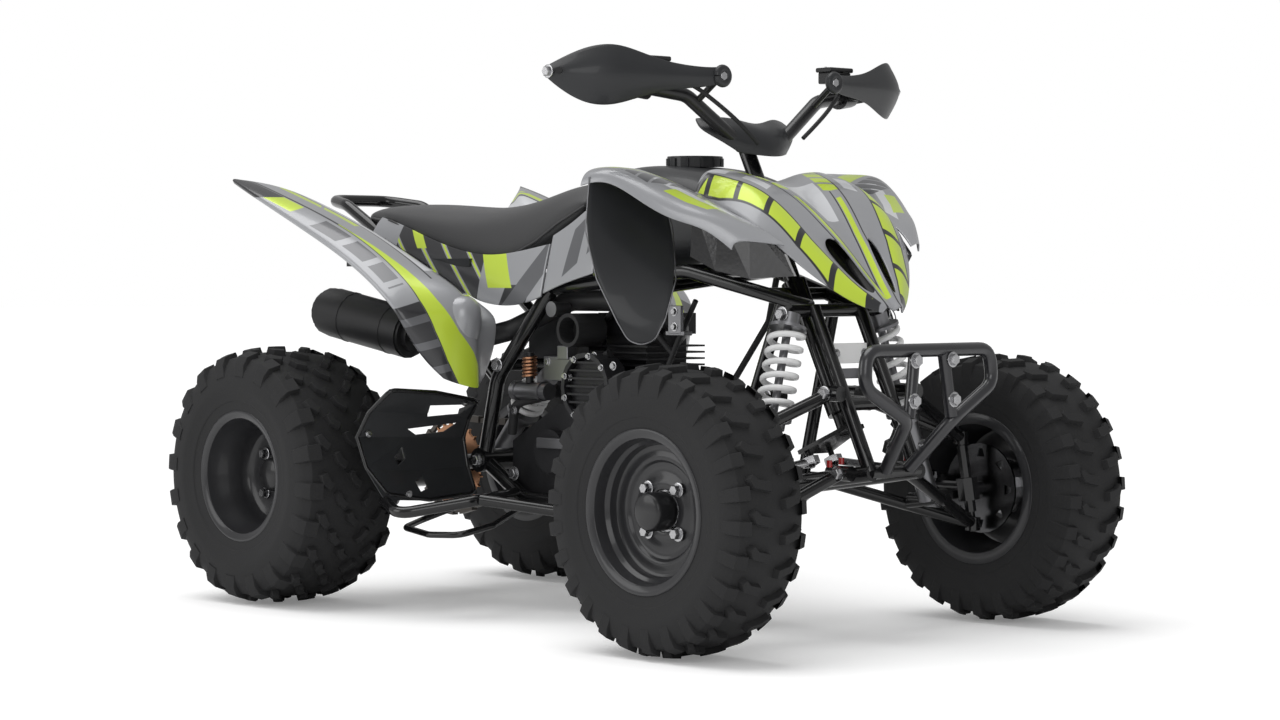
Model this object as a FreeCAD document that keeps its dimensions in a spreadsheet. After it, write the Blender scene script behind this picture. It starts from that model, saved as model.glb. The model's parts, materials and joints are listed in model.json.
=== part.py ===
import FreeCAD, Part

import math
import os

import Sketcher
from FreeCAD import Placement, Rotation, Vector

# A sport quad bike as an assembly of separate pieces, in millimetres and degrees.
# X points forward, Y to the rider's left and Z up. The origin lies on the ground,
# half way between the axles. Pieces of one kind on one side of the quad are mirrored.

# Driving sizes
SIZES = {
    # stance
    "wheelbase": 1180,
    "front_track": 845,
    "rear_track": 740,
    "seat_height": 800,
    # front tyre and rim
    "front_tyre_radius": 250,
    "front_tyre_width": 166,
    "front_rim_radius": 141,
    "front_rim_width": 152,
    "front_bead_radius": 127,
    "front_disc_offset": 22,
    # rear tyre and rim
    "rear_tyre_radius": 253,
    "rear_tyre_width": 230,
    "rear_rim_radius": 129,
    "rear_rim_width": 208,
    "rear_bead_radius": 114.5,
    "rear_disc_offset": 8,
    # shared by the wheels
    "lug_height": 13,
    "lug_root": 6,
    "rim_wall": 3.6,
    "rim_flange": 6,
    "tyre_gap": 2,
    "hub_hole_radius": 38,
    # front hub, spindle and brake
    "spindle_radius": 13,
    "upright_boss_radius": 21,
    "hub_radius": 36,
    "hub_cap_radius": 30,
    "hub_length": 74,
    "hub_gap": 3,
    "brake_disc_radius": 84,
    "brake_disc_wall": 4,
    "caliper_width": 34,
    "caliper_length": 46,
    "caliper_gap": 5,
    "bearing_gap": 0.05,
    # steering
    "stem_radius": 15,
    "stem_boss_radius": 23,
    "kingpin_radius": 11,
    "upright_gap": 9,
    "ball_radius": 14,
    "steering_arm_length": 78,
    "tie_rod_radius": 7,
    "tie_end_radius": 12,
    "pitman_half_width": 30,
    "open_pivot_gap": 7,
    "turn_gap": 6,
    # handlebar
    "bar_tube_radius": 13,
    "grip_radius": 17,
    "grip_length": 125,
    "bar_bend": 46,
    "lever_radius": 5,
    "lever_reach": 42,
    "cable_radius": 4,
    # frame and suspension tubes
    "frame_tube_radius": 15,
    "tower_tube_radius": 13,
    "cross_tube_radius": 12,
    "pivot_boss_radius": 24,
    "pivot_boss_length": 34,
    "arm_tube_radius": 11.5,
    "pivot_tube_radius": 14,
    "pivot_tube_length": 52,
    "bumper_tube_radius": 12,
    "bumper_bend": 34,
    "grab_tube_radius": 12,
    "grab_bend": 38,
    "peg_tube_radius": 11,
    "peg_bend": 30,
    "damper_radius": 15,
    "spring_radius": 29,
    "spring_wire_radius": 5.5,
    "skid_wall": 4,
    # rear axle
    "axle_radius": 17,
    "axle_hub_radius": 42,
    "rear_brake_radius": 95,
    "sprocket_root_radius": 84,
    "sprocket_tooth": 7,
    "sprocket_hole_radius": 13,
    "sprocket_hole_reach": 58,
    "drive_sprocket_radius": 34,
    "sprocket_wall": 6,
    "chain_height": 13,
    "chain_width": 15,
    "link_inner_height": 9,
    "link_inner_width": 9,
    # bodywork and engine
    "panel_wall": 3,
    "seat_foam": 30,
    "lamp_depth": 34,
    "muffler_radius": 50,
    "muffler_cap_radius": 40,
    "muffler_cap_length": 14,
    "pipe_radius": 20,
    "pipe_bend": 60,
    "fan_radius": 66,
    "fan_rim": 9,
    "fan_depth": 26,
    "louvre_wall": 4,
    "louvre_pitch": 15,
    "fin_wall": 3.5,
    "fin_pitch": 12,
    "filler_radius": 52,
    "filler_height": 28,
    "filler_ridge": 4,
    "mirror_gap": 0.3,
    "seat_gap": 0.3,
    "panel_gap": 0.4,
}

# Outline tables below are shares of one metre along, across and up the quad as drawn,
# so these are the quad's own sizes in metres and each table follows them.
WHEELBASE_SHARE = 1.18
TRACK_SHARE = 0.845
SEAT_SHARE = 0.8
AXLE_SHARE = 0.25

doc = FreeCAD.newDocument("quad_bike")
sheet = doc.addObject("Spreadsheet::Sheet", "sizes")
for row, (alias, value) in enumerate(SIZES.items(), 1):
    sheet.set(f"A{row}", alias.replace("_", " "))
    sheet.set(f"B{row}", str(value))
    sheet.setAlias(f"B{row}", alias)
doc.recompute()


def words_of(value):
    return value.words if isinstance(value, Length) else repr(float(value))


class Length(float):
    """A size that keeps the words which give it, so that a sum of sizes can be bound."""

    def __new__(cls, value, words):
        made = super().__new__(cls, value)
        made.words = words
        return made

    def __add__(self, other):
        return Length(float(self) + float(other), f"({self.words} + {words_of(other)})")

    def __sub__(self, other):
        return Length(float(self) - float(other), f"({self.words} - {words_of(other)})")

    def __mul__(self, other):
        return Length(float(self) * float(other), f"({self.words} * {words_of(other)})")

    def __truediv__(self, other):
        return Length(float(self) / float(other), f"({self.words} / {words_of(other)})")

    def __radd__(self, other):
        return Length(float(other) + float(self), f"({words_of(other)} + {self.words})")

    def __rsub__(self, other):
        return Length(float(other) - float(self), f"({words_of(other)} - {self.words})")

    def __rmul__(self, other):
        return Length(float(other) * float(self), f"({words_of(other)} * {self.words})")

    def __neg__(self):
        return self * -1.0


class Sizes:
    """Reads a size from the sheet by its name."""

    def __getattr__(self, alias):
        return Length(sheet.get(alias), "sizes." + alias)


mm = Sizes()
along = mm.wheelbase / WHEELBASE_SHARE
across = mm.front_track / TRACK_SHARE
up = (mm.seat_height - mm.front_tyre_radius) / (SEAT_SHARE - AXLE_SHARE)
X, Y, Z = Vector(1, 0, 0), Vector(0, 1, 0), Vector(0, 0, 1)
SIDES = (("right", -1), ("left", 1))
TUBE_COUNT = 8
CABLE_COUNT = 6
BEND_COUNT = 3
nodes = []
pieces = {}


# Places
def level(z):
    """The height at this share, which keeps the axle's own share at the axle."""
    return mm.front_tyre_radius + up * (z - AXLE_SHARE)


def spot(x, y, z):
    """A place at these shares of the quad's length, breadth and height, as bound sizes."""
    return along * x, across * y, level(z)


def at(x, y, z):
    return Vector(*spot(x, y, z))


def points(shares, side=1):
    return [at(x, y * side, z) for x, y, z in shares]


def unit(vector):
    return Vector(vector).normalize()


# Pieces of the document
def bind(item, name, size):
    """Sets a property, and binds it where the size comes from the sheet."""
    setattr(item, name, float(size))
    if isinstance(size, Length):
        item.setExpression(name, size.words)


def seat(item, place, way=Z):
    """Puts an item's own origin at a place, with its Z along the way."""
    item.Placement = Placement(Vector(*place), Rotation(Z, way))
    for axis, size in zip("xyz", place):
        if isinstance(size, Length):
            item.setExpression("Placement.Base." + axis, size.words)
    return item


def prism(name, place, way, radius, length, flats=TUBE_COUNT):
    """A bar or disc with flats."""
    made = doc.addObject("Part::Prism", name)
    made.Polygon = flats
    bind(made, "Circumradius", radius)
    bind(made, "Height", length)
    return seat(made, place, way)


def drum(name, place, way, radius, length):
    """A true cylinder, for what turns or is bored."""
    made = doc.addObject("Part::Cylinder", name)
    bind(made, "Radius", radius)
    bind(made, "Height", length)
    return seat(made, place, way)


def block(name, place, length, width, height):
    made = doc.addObject("Part::Box", name)
    bind(made, "Length", length)
    bind(made, "Width", width)
    bind(made, "Height", height)
    return seat(made, place)


def block_between(name, low, high):
    """A block from its lowest corner's shares to its highest corner's."""
    near, far = spot(*low), spot(*high)
    return block(name, near, *(end - start for start, end in zip(near, far)))


def joined(name, items):
    if len(items) == 1:
        return items[0]
    made = doc.addObject("Part::MultiFuse", name)
    made.Shapes = items
    made.Refine = True
    return made


def less(name, base, *tools):
    made = doc.addObject("Part::Cut", name)
    made.Base = base
    made.Tool = joined(name + "_tools", list(tools))
    made.Refine = True
    return made


def keep(label, item):
    """Takes an item as the sub-part of this name."""
    item.Label = label
    nodes.append(item)
    pieces[label] = item
    return item


def piece(label, shape, place=Vector()):
    """A sub-part whose shape is worked out from the sheet's sizes."""
    feature = doc.addObject("Part::Feature", label + "_form")
    feature.Shape = shape
    feature.Placement = Placement(place, Rotation())
    return keep(label, feature)


def shape_of(label):
    if "Touched" in pieces[label].State or pieces[label].Shape.isNull():
        doc.recompute()
    return pieces[label].Shape


def clear(shape, *labels):
    """The shape less the room of the pieces it seats on."""
    return shape.cut([shape_of(label) for label in labels])


def main_solid(shape):
    """The largest solid of a shape that its neighbours cut up."""
    return max(shape.Solids, key=lambda solid: solid.Volume)


# Bodies built from sketches
def body(label):
    made = doc.addObject("PartDesign::Body", label + "_body")
    return keep(label, made)


def drawn_on(part, name, role, lift=0.0):
    """A sketch on one of the body's own planes, or lifted off it."""
    sketch = part.newObject("Sketcher::SketchObject", name)
    plane = next(item for item in part.Origin.OriginFeatures if item.Role == role)
    sketch.AttachmentSupport = [(plane, "")]
    sketch.MapMode = "FlatFace"
    if lift:
        sketch.AttachmentOffset = Placement(Vector(0, 0, lift), Rotation())
        sketch.setExpression("AttachmentOffset.Base.z", words_of(lift))
    return sketch


def closed(sketch, corners):
    """A closed outline whose corners are bound to sizes."""
    first = sketch.GeometryCount
    spots = [Vector(float(across_by), float(up_by), 0) for across_by, up_by in corners]
    for start, end in zip(spots, spots[1:] + spots[:1]):
        sketch.addGeometry(Part.LineSegment(start, end))
    for index, corner in enumerate(corners):
        edge = first + index
        following = first + (index + 1) % len(corners)
        sketch.addConstraint(Sketcher.Constraint("Coincident", edge, 2, following, 1))
        for kind, axis, size in zip(("DistanceX", "DistanceY"), (-2, -1), corner):
            if float(size) == 0:
                sketch.addConstraint(Sketcher.Constraint("PointOnObject", edge, 1, axis))
                continue
            number = sketch.addConstraint(Sketcher.Constraint(kind, -1, 1, edge, 1, float(size)))
            if isinstance(size, Length):
                sketch.setExpression(f"Constraints[{number}]", size.words)
    return sketch


def pad(part, name, sketch, depth):
    made = part.newObject("PartDesign::Pad", name)
    made.Profile = sketch
    bind(made, "Length", depth)
    return made


def pocket(part, name, sketch):
    """Cuts the sketch's outline through all that lies on its near side."""
    made = part.newObject("PartDesign::Pocket", name)
    made.Profile = sketch
    made.Type = 1
    made.Reversed = True
    return made


def ring_of(part, name, step, sketch, count):
    """Repeats a step about the sketch's own normal."""
    made = part.newObject("PartDesign::PolarPattern", name)
    made.Originals = [step]
    made.Axis = (sketch, ["N_Axis"])
    made.Occurrences = count
    made.Angle = 360
    part.Tip = made
    return made


def row_of(part, name, step, sketch, axis, length, count):
    """Repeats a step along one of the sketch's axes."""
    made = part.newObject("PartDesign::LinearPattern", name)
    made.Originals = [step]
    made.Direction = (sketch, [axis])
    bind(made, "Length", length)
    made.Occurrences = count
    part.Tip = made
    return made


# Forms with flats
def fused(shapes):
    solid = shapes[0].fuse(shapes[1:]) if len(shapes) > 1 else shapes[0]
    return solid.removeSplitter()


def rod(start, end, radius):
    """A true cylinder between two points."""
    return Part.makeCylinder(radius, (end - start).Length, start, end - start)


def solid_of(faces):
    shell = Part.makeShell(faces)
    shell.sewShape()
    solid = Part.makeSolid(shell)
    if solid.Volume < 0:
        solid.reverse()
    return solid


def skin_between(rings):
    """A solid through closed rings of points, with flat sides and flat ends."""
    faces = [Part.Face(Part.makePolygon(ring + ring[:1])) for ring in (rings[0], rings[-1])]
    for ring, following in zip(rings, rings[1:]):
        for quad in zip(ring, ring[1:] + ring[:1], following[1:] + following[:1], following):
            faces.append(Part.Face(Part.makePolygon(list(quad) + [quad[0]])))
    return solid_of(faces)


def tube(corners, radius, flats=TUBE_COUNT):
    """A bar with flats along straight runs, mitred where they meet."""
    ahead = unit(corners[1] - corners[0])
    aside = unit(ahead.cross(Y if abs(ahead.z) > abs(ahead.y) else Z))
    over = aside.cross(ahead)
    turns = [math.tau * (step + 0.5) / flats for step in range(flats)]
    ring = [corners[0] + (aside * math.cos(turn) + over * math.sin(turn)) * radius for turn in turns]
    rings = [ring]
    for before, corner, after in zip(corners, corners[1:], corners[2:] + [None]):
        inward = unit(corner - before)
        normal = inward if after is None else unit(inward + unit(after - corner))
        ring = [point + inward * ((corner - point).dot(normal) / inward.dot(normal)) for point in ring]
        rings.append(ring)
    return skin_between(rings)


def bent(corners, bend, steps=BEND_COUNT):
    """The route with each corner replaced by short runs round the bend's radius."""
    route = [corners[0]]
    for before, corner, after in zip(corners, corners[1:], corners[2:]):
        inward, outward = unit(before - corner), unit(after - corner)
        half = inward.getAngle(outward) / 2
        centre = corner + unit(inward + outward) * (bend / math.sin(half))
        first = corner + inward * (bend / math.tan(half)) - centre
        last = corner + outward * (bend / math.tan(half)) - centre
        swing = math.pi - 2 * half
        for step in range(steps + 1):
            near, far = math.sin(swing * (1 - step / steps)), math.sin(swing * step / steps)
            route.append(centre + first * (near / math.sin(swing)) + last * (far / math.sin(swing)))
    return route + [corners[-1]]


def hoop(shares, radius, bend):
    """A bent tube that runs up one side and down the other."""
    return tube(bent(points(shares) + points(reversed(shares), -1), bend), radius)


def both(shape):
    """The shape with its mirror image on the other side of the quad."""
    return [shape, shape.mirror(Vector(), Y)]


def mirrored_pair(label, left):
    """One sub-part on each side, the right one the left one's mirror image."""
    piece(label + "_right", left.mirror(Vector(), Y))
    piece(label + "_left", left)


def facets(grid):
    faces = []
    for near, far in zip(grid, grid[1:]):
        for first, second, third, fourth in zip(near, near[1:], far[1:], far):
            for corners in ((first, second, third, first), (first, third, fourth, first)):
                faces.append(Part.Face(Part.makePolygon(corners)))
    return faces


def panel(grid, depth):
    """A skin of flat facets through a grid of points, as thick as the depth vector."""
    under = [[point + depth for point in row] for row in grid]
    faces = facets(grid) + facets(under)
    rims = [grid[0], grid[-1], [row[0] for row in grid], [row[-1] for row in grid]]
    for rim in rims:
        faces += facets([rim, [point + depth for point in rim]])
    return solid_of(faces)


def rows(table, side=1):
    return [points(row, side) for row in table]


def across_both(table):
    """Rows given from the middle outwards, completed on the other side."""
    return [points(reversed(row[1:]), -1) + points(row) for row in table]


def plate(outline, depth):
    """A flat piece: a closed outline pushed along the depth vector."""
    return Part.Face(Part.makePolygon(outline + outline[:1])).extrude(depth)


def faceted_ring(profile, centre, flats):
    """A ring with flat sides; its profile is (distance along the axle, radius)."""
    rings = []
    for step in range(flats):
        turn = math.tau * (step + 0.5) / flats + math.pi / 2
        outward = Vector(math.cos(turn), 0, math.sin(turn))
        rings.append([centre + Y * reach + outward * radius for reach, radius in profile])
    faces = []
    for ring, following in zip(rings, rings[1:] + rings[:1]):
        edges = zip(ring, ring[1:] + ring[:1], following[1:] + following[:1], following)
        for quad in edges:
            faces.append(Part.Face(Part.makePolygon(list(quad) + [quad[0]])))
    return solid_of(faces)


# Wheel centres and steering axes
lead = (mm.rear_tyre_radius - mm.front_tyre_radius) / 2
front_spot = (mm.wheelbase / 2 + lead, mm.front_track / 2, mm.front_tyre_radius)
rear_spot = (lead - mm.wheelbase / 2, mm.rear_track / 2, mm.rear_tyre_radius)
front_centre, rear_centre = Vector(*front_spot), Vector(*rear_spot)
axle_middle = Vector(rear_centre.x, 0, rear_centre.z)
STEM_SHARES = ((0.595, 0, 0.365), (0.340, 0, 0.878))
stem_low, stem_high = points(STEM_SHARES)
stem_up = unit(stem_high - stem_low)
KNUCKLE_SHARES = ((0.598, 0.338, 0.185), (0.582, 0.322, 0.345))
ball_low, ball_high = points(KNUCKLE_SHARES)
kingpin = unit(ball_high - ball_low)


def beyond(place, reach):
    """The bound place that lies this far outwards from another."""
    return place[0], place[1] + reach, place[2]


def mirror_of(name, item):
    made = doc.addObject("Part::Mirroring", name)
    made.Source = item
    made.Normal = Y
    return made


# Tyres: profiles run (share of half the width, share of the height above the bead)
TYRE_SHARES = ((-0.83, 0), (-0.84, 0.14), (-1, 0.42), (-0.80, 0.885),
               (0.80, 0.885), (1, 0.42), (0.84, 0.14), (0.83, 0))
CROWN_SHARE = 0.885
TREAD_COUNT = 2
FRONT_PITCH_COUNT = 12
REAR_PITCH_COUNT = 13
# Lug rows: place across as a share of half the width, turn in pitches, length and width
# as shares of half the width, skew in degrees
FRONT_LUG_SHARES = ((0.18, 0, 0.46, 0.27, 22), (-0.18, 0.5, 0.46, 0.27, -22),
                    (0.57, 0.5, 0.42, 0.30, 8), (-0.57, 0, 0.42, 0.30, -8))
REAR_LUG_SHARES = ((0.19, 0, 0.30, 0.28, 18), (-0.19, 0.5, 0.30, 0.28, -18),
                   (0.58, 0.5, 0.30, 0.28, 10), (-0.58, 0, 0.30, 0.28, -10))
LUG_TAPER_SHARE = 0.8


def lug(centre, turn, reach, floor, tip, length, width, skew):
    """A tread block on the tyre's crown, narrower at its tip."""
    outward = Vector(math.cos(turn), 0, math.sin(turn))
    forward = Vector(-math.sin(turn), 0, math.cos(turn))
    swing = Rotation(outward, skew)
    rings = []
    for radius, share in ((floor, 1), (tip, LUG_TAPER_SHARE)):
        base = centre + outward * radius + Y * reach
        ring = []
        for ahead, aside in ((-1, -1), (1, -1), (1, 1), (-1, 1)):
            offset = forward * (ahead * share * length / 2) + Y * (aside * share * width / 2)
            ring.append(base + swing.multVec(offset))
        rings.append(ring)
    return skin_between(rings)


def tyre_shape(radius, width, bead, pitches, lug_shares):
    """A carcass with flats and rows of lugs, round the origin."""
    crown = radius - mm.lug_height
    height = crown - bead
    profile = [(reach * width / 2, bead + share * height / CROWN_SHARE) for reach, share in TYRE_SHARES]
    carcass = faceted_ring(profile, Vector(), TREAD_COUNT * pitches)
    lugs = []
    for pitch in range(pitches):
        for reach, shift, length, breadth, skew in lug_shares:
            turn = math.tau * (pitch + shift) / pitches - math.pi / 2
            lugs.append(lug(Vector(), turn, reach * width / 2, crown - mm.lug_root, radius,
                            length * width / 2, breadth * width / 2, skew))
    return carcass.fuse(lugs).removeSplitter()


RIM_COUNT = 20
HUB_COUNT = 12
DISC_COUNT = 24
DAMPER_COUNT = 8


def rim(name, place, radius, width, bead, offset):
    """A left wheel's rim: a barrel with two flanges and a disc with the hub's hole."""
    start = beyond(place, width / -2)
    inner = bead - mm.rim_wall
    solid = joined(name + "_turned", [
        prism(name + "_barrel", start, Y, bead, width, RIM_COUNT),
        prism(name + "_inner_flange", start, Y, radius, mm.rim_flange, RIM_COUNT),
        prism(name + "_outer_flange", beyond(place, width / 2 - mm.rim_flange), Y, radius,
              mm.rim_flange, RIM_COUNT)])
    near = offset - mm.rim_wall
    return less(name, solid,
                prism(name + "_inner_well", start, Y, inner, width / 2 + near, RIM_COUNT),
                prism(name + "_outer_well", beyond(place, offset), Y, inner, width, RIM_COUNT),
                prism(name + "_hub_hole", start, Y, mm.hub_hole_radius, width, RIM_COUNT))


def front_wheels():
    bead = mm.front_bead_radius + mm.tyre_gap
    tread = tyre_shape(mm.front_tyre_radius, mm.front_tyre_width, bead, FRONT_PITCH_COUNT, FRONT_LUG_SHARES)
    piece("tyre_front_left", tread, front_centre)
    right = front_centre - Y * (2 * front_centre.y)
    piece("tyre_front_right", tread.mirror(Vector(), Y), right)
    left_rim = rim("front_rim", front_spot, mm.front_rim_radius, mm.front_rim_width,
                   mm.front_bead_radius, mm.front_disc_offset)
    keep("rim_front_left", left_rim)
    keep("rim_front_right", mirror_of("front_rim_mirrored", left_rim))
    keep("hub_front_right", mirror_of("front_hub_mirrored", front_hub()))


def stacked(part, name, kind, lift, radius, length, flats):
    """One more prism on the body's axis, added or taken away."""
    made = part.newObject("PartDesign::" + kind, name)
    made.Polygon = flats
    bind(made, "Circumradius", radius)
    bind(made, "Height", length)
    if isinstance(lift, Length):
        made.Placement = Placement(Vector(0, 0, lift), Rotation())
        made.setExpression("Placement.Base.z", lift.words)
    return made


SLOT_COUNT = 8
SLOT_SHARES = ((0.70, -0.10), (0.88, -0.04), (0.88, 0.06), (0.70, 0.12))


def slots_in(part, name, radius):
    """Slots through a brake disc, repeated round it."""
    sketch = drawn_on(part, name + "_slot", "XY_Plane")
    closed(sketch, [(radius * out, radius * aside) for out, aside in SLOT_SHARES])
    cut = pocket(part, name + "_slot_cut", sketch)
    return ring_of(part, name + "_slots", cut, sketch, SLOT_COUNT)


def front_hub():
    """The left hub on its spindle: brake disc, drum, the rim's flange and the cap."""
    hub = body("hub_front_left")
    seat(hub, beyond(front_spot, mm.front_disc_offset - mm.rim_wall - mm.hub_length), Y)
    flange = mm.hub_length - mm.rim_flange
    stacked(hub, "front_brake_disc", "AdditivePrism", 0, mm.brake_disc_radius, mm.brake_disc_wall,
            DISC_COUNT)
    slots_in(hub, "front_disc", mm.brake_disc_radius)
    stacked(hub, "hub_drum", "AdditivePrism", 0, mm.hub_radius, mm.hub_length, HUB_COUNT)
    stacked(hub, "hub_flange", "AdditivePrism", flange, mm.hub_radius + mm.hub_radius / 2,
            mm.rim_flange, HUB_COUNT)
    stacked(hub, "hub_cap", "AdditivePrism", flange, mm.hub_cap_radius,
            mm.rim_flange + mm.rim_wall + mm.hub_cap_radius, HUB_COUNT)
    bore = hub.newObject("PartDesign::SubtractiveCylinder", "spindle_bore")
    bind(bore, "Radius", mm.spindle_radius + mm.bearing_gap)
    bind(bore, "Height", mm.hub_length + mm.rim_wall)
    return hub


def steering_tip():
    """The left pin of the steering arm, behind the kingpin and square to it."""
    foot = ball_low + kingpin * ((front_centre.z - ball_low.z) / kingpin.z + mm.ball_radius)
    return foot + unit(kingpin.cross(Y)) * mm.steering_arm_length


def pitman_tip():
    rearward = unit(stem_up.cross(Y))
    return stem_low + rearward * mm.steering_arm_length + Y * mm.pitman_half_width


def caliper(axle, inner, wall, radius):
    """A caliper that straddles a disc behind its axle, open towards the axle."""
    middle = inner + wall / 2
    far = radius + 2 * mm.caliper_gap + mm.rim_flange
    low = Vector(axle.x - far, middle - mm.caliper_width / 2, axle.z - mm.caliper_length / 2)
    cover = Part.makeBox(mm.caliper_length, mm.caliper_width, mm.caliper_length, low)
    slot_wide = wall + 2 * mm.caliper_gap
    slot = Part.makeBox(far, slot_wide, mm.caliper_length,
                        Vector(axle.x - radius - mm.caliper_gap, middle - slot_wide / 2, low.z))
    return cover.cut(slot)


def knuckles():
    centre = front_centre
    foot = ball_low + kingpin * ((centre.z - ball_low.z) / kingpin.z)
    spindle_end = centre + Y * (mm.front_disc_offset - mm.hub_gap)
    lowest = ball_low + kingpin * (mm.ball_radius + mm.upright_gap)
    highest = ball_high - kingpin * (mm.ball_radius + mm.panel_gap)
    tip = steering_tip()
    reach = kingpin * mm.upright_boss_radius
    disc_inner = centre.y + mm.front_disc_offset - mm.rim_wall - mm.hub_length
    brake = caliper(centre, disc_inner, mm.brake_disc_wall, mm.brake_disc_radius)
    hold = Vector(brake.BoundBox.XMin + mm.rim_flange, disc_inner - mm.caliper_gap - mm.rim_flange,
                  centre.z)
    parts = [tube([lowest, highest], mm.kingpin_radius),
             rod(ball_low - kingpin * mm.ball_radius, ball_high + kingpin * mm.ball_radius,
                 mm.tie_rod_radius),
             rod(Vector(centre.x, foot.y, centre.z), spindle_end, mm.spindle_radius),
             tube([foot - reach, foot + reach], mm.upright_boss_radius),
             tube([foot + kingpin * (mm.ball_radius / 2), tip], mm.tie_rod_radius),
             rod(tip - kingpin * mm.tie_end_radius, tip + kingpin * mm.tie_end_radius * 2,
                 mm.tie_rod_radius - mm.panel_gap * 2),
             brake, tube([foot, hold], mm.tie_rod_radius, DAMPER_COUNT)]
    mirrored_pair("knuckle", fused(parts))


def tie_rods():
    tip = steering_tip() + kingpin * (mm.tie_end_radius * 1.4)
    inner = pitman_tip() - stem_up * (mm.tie_end_radius * 1.6)
    eye_half = kingpin * (mm.tie_end_radius / 2)
    stem_half = stem_up * (mm.tie_end_radius / 2)
    open_radius = mm.tie_rod_radius + mm.open_pivot_gap
    body_of = fused([tube([tip - eye_half, tip + eye_half], mm.tie_end_radius),
                     tube([inner, tip], mm.tie_rod_radius),
                     tube([inner - stem_half, inner + stem_half], open_radius + mm.rim_wall)])
    bores = [rod(tip - eye_half * 3, tip + eye_half * 3, mm.tie_rod_radius - mm.panel_gap),
             rod(inner - stem_half * 3, inner + stem_half * 3, open_radius)]
    mirrored_pair("tie_rod", body_of.cut(bores).removeSplitter())


BAR_SHARES = ((0.371, 0, 0.892), (0.371, 0.060, 0.892), (0.357, 0.170, 0.970), (0.300, 0.410, 1.004))


def steering():
    """The stem with its pitman plate, the handlebar and what is clamped to it."""
    ahead = unit(Y.cross(stem_up)) * mm.stem_boss_radius
    left_tip = pitman_tip()
    right_tip = left_tip - Y * (2 * left_tip.y)
    spread = Y * mm.stem_boss_radius
    outline = [stem_low + ahead - spread, right_tip - ahead / 2 - spread / 2,
               left_tip - ahead / 2 + spread / 2, stem_low + ahead + spread]
    bar = points(BAR_SHARES)
    clamp_end = Y * (0.75 * bar[1].y)
    parts = [rod(stem_low, stem_high + stem_up * mm.stem_radius, mm.stem_radius),
             plate(outline, stem_up * (mm.stem_radius / 2)),
             tube([bar[0] - clamp_end, bar[0] + clamp_end], mm.stem_boss_radius),
             tube([stem_high, bar[0]], mm.bar_tube_radius)]
    for tip in (left_tip, right_tip):
        parts.append(rod(tip + stem_up * mm.panel_wall, tip - stem_up * mm.tie_end_radius * 2.6,
                         mm.tie_rod_radius - mm.rim_wall / 2))
    left = points(BAR_SHARES[1:])
    right = points(reversed(BAR_SHARES[1:]), -1)
    straight = tube(bent(right + left, mm.bar_bend), mm.bar_tube_radius)
    piece("steering_stem", fused(parts).cut(straight))
    piece("handlebar", straight)
    inner, outer = points(BAR_SHARES[-2:])
    reach = unit(outer - inner)
    grip = tube([outer - reach * mm.grip_length, outer + reach * mm.rim_wall], mm.grip_radius, HUB_COUNT)
    piece("grips", Part.makeCompound(both(grip.cut(straight))))


front_wheels()
knuckles()
tie_rods()
steering()

SPROCKET_SHARE = 0.070
BRAKE_SHARE = -0.135
TOOTH_COUNT = 26
TOOTH_SHARES = ((-0.05, -0.045), (0, -0.036), (1, -0.012), (1, 0.012), (0, 0.036), (-0.05, 0.045))
HOLE_COUNT = 6


def rear_axle():
    """One shaft with both rear wheels, the sprocket and the brake disc."""
    bead = mm.rear_bead_radius + mm.tyre_gap
    tread = tyre_shape(mm.rear_tyre_radius, mm.rear_tyre_width, bead, REAR_PITCH_COUNT, REAR_LUG_SHARES)
    piece("rear_tyres", Part.makeCompound(both(tread.translated(rear_centre))))
    left_rim = rim("rear_rim", rear_spot, mm.rear_rim_radius, mm.rear_rim_width,
                   mm.rear_bead_radius, mm.rear_disc_offset)
    rims = doc.addObject("Part::Compound", "rear_rim_pair")
    rims.Links = [left_rim, mirror_of("rear_rim_mirrored", left_rim)]
    keep("rear_rims", rims)
    middle = (rear_spot[0], 0.0, rear_spot[2])
    face = mm.rear_track / 2 + mm.rear_disc_offset - mm.rim_wall
    end = face + mm.rim_wall + mm.axle_radius
    hub = face - mm.hub_hole_radius
    left_hub = joined("left_axle_hub", [
        prism("axle_hub", beyond(middle, hub), Y, mm.axle_hub_radius, mm.hub_hole_radius, HUB_COUNT),
        prism("axle_cap", beyond(middle, hub), Y, mm.hub_cap_radius,
              mm.hub_hole_radius + mm.rim_wall + mm.axle_radius, HUB_COUNT)])
    keep("rear_axle", joined("axle_with_hubs", [
        drum("axle_shaft", beyond(middle, -end), Y, mm.axle_radius, end * 2), left_hub,
        mirror_of("right_axle_hub", left_hub)]))
    sprocket(beyond(middle, across * SPROCKET_SHARE))
    disc = body("rear_disc")
    seat(disc, beyond(middle, across * BRAKE_SHARE), Y)
    stacked(disc, "rear_disc_blank", "AdditivePrism", 0, mm.rear_brake_radius, mm.sprocket_wall,
            DISC_COUNT)
    slots_in(disc, "rear_disc", mm.rear_brake_radius)
    axle_bore(disc, "rear_disc_bore")


def axle_bore(part, name):
    bore = part.newObject("PartDesign::SubtractiveCylinder", name)
    bind(bore, "Radius", mm.axle_radius + mm.bearing_gap)
    bind(bore, "Height", mm.sprocket_wall)


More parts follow.
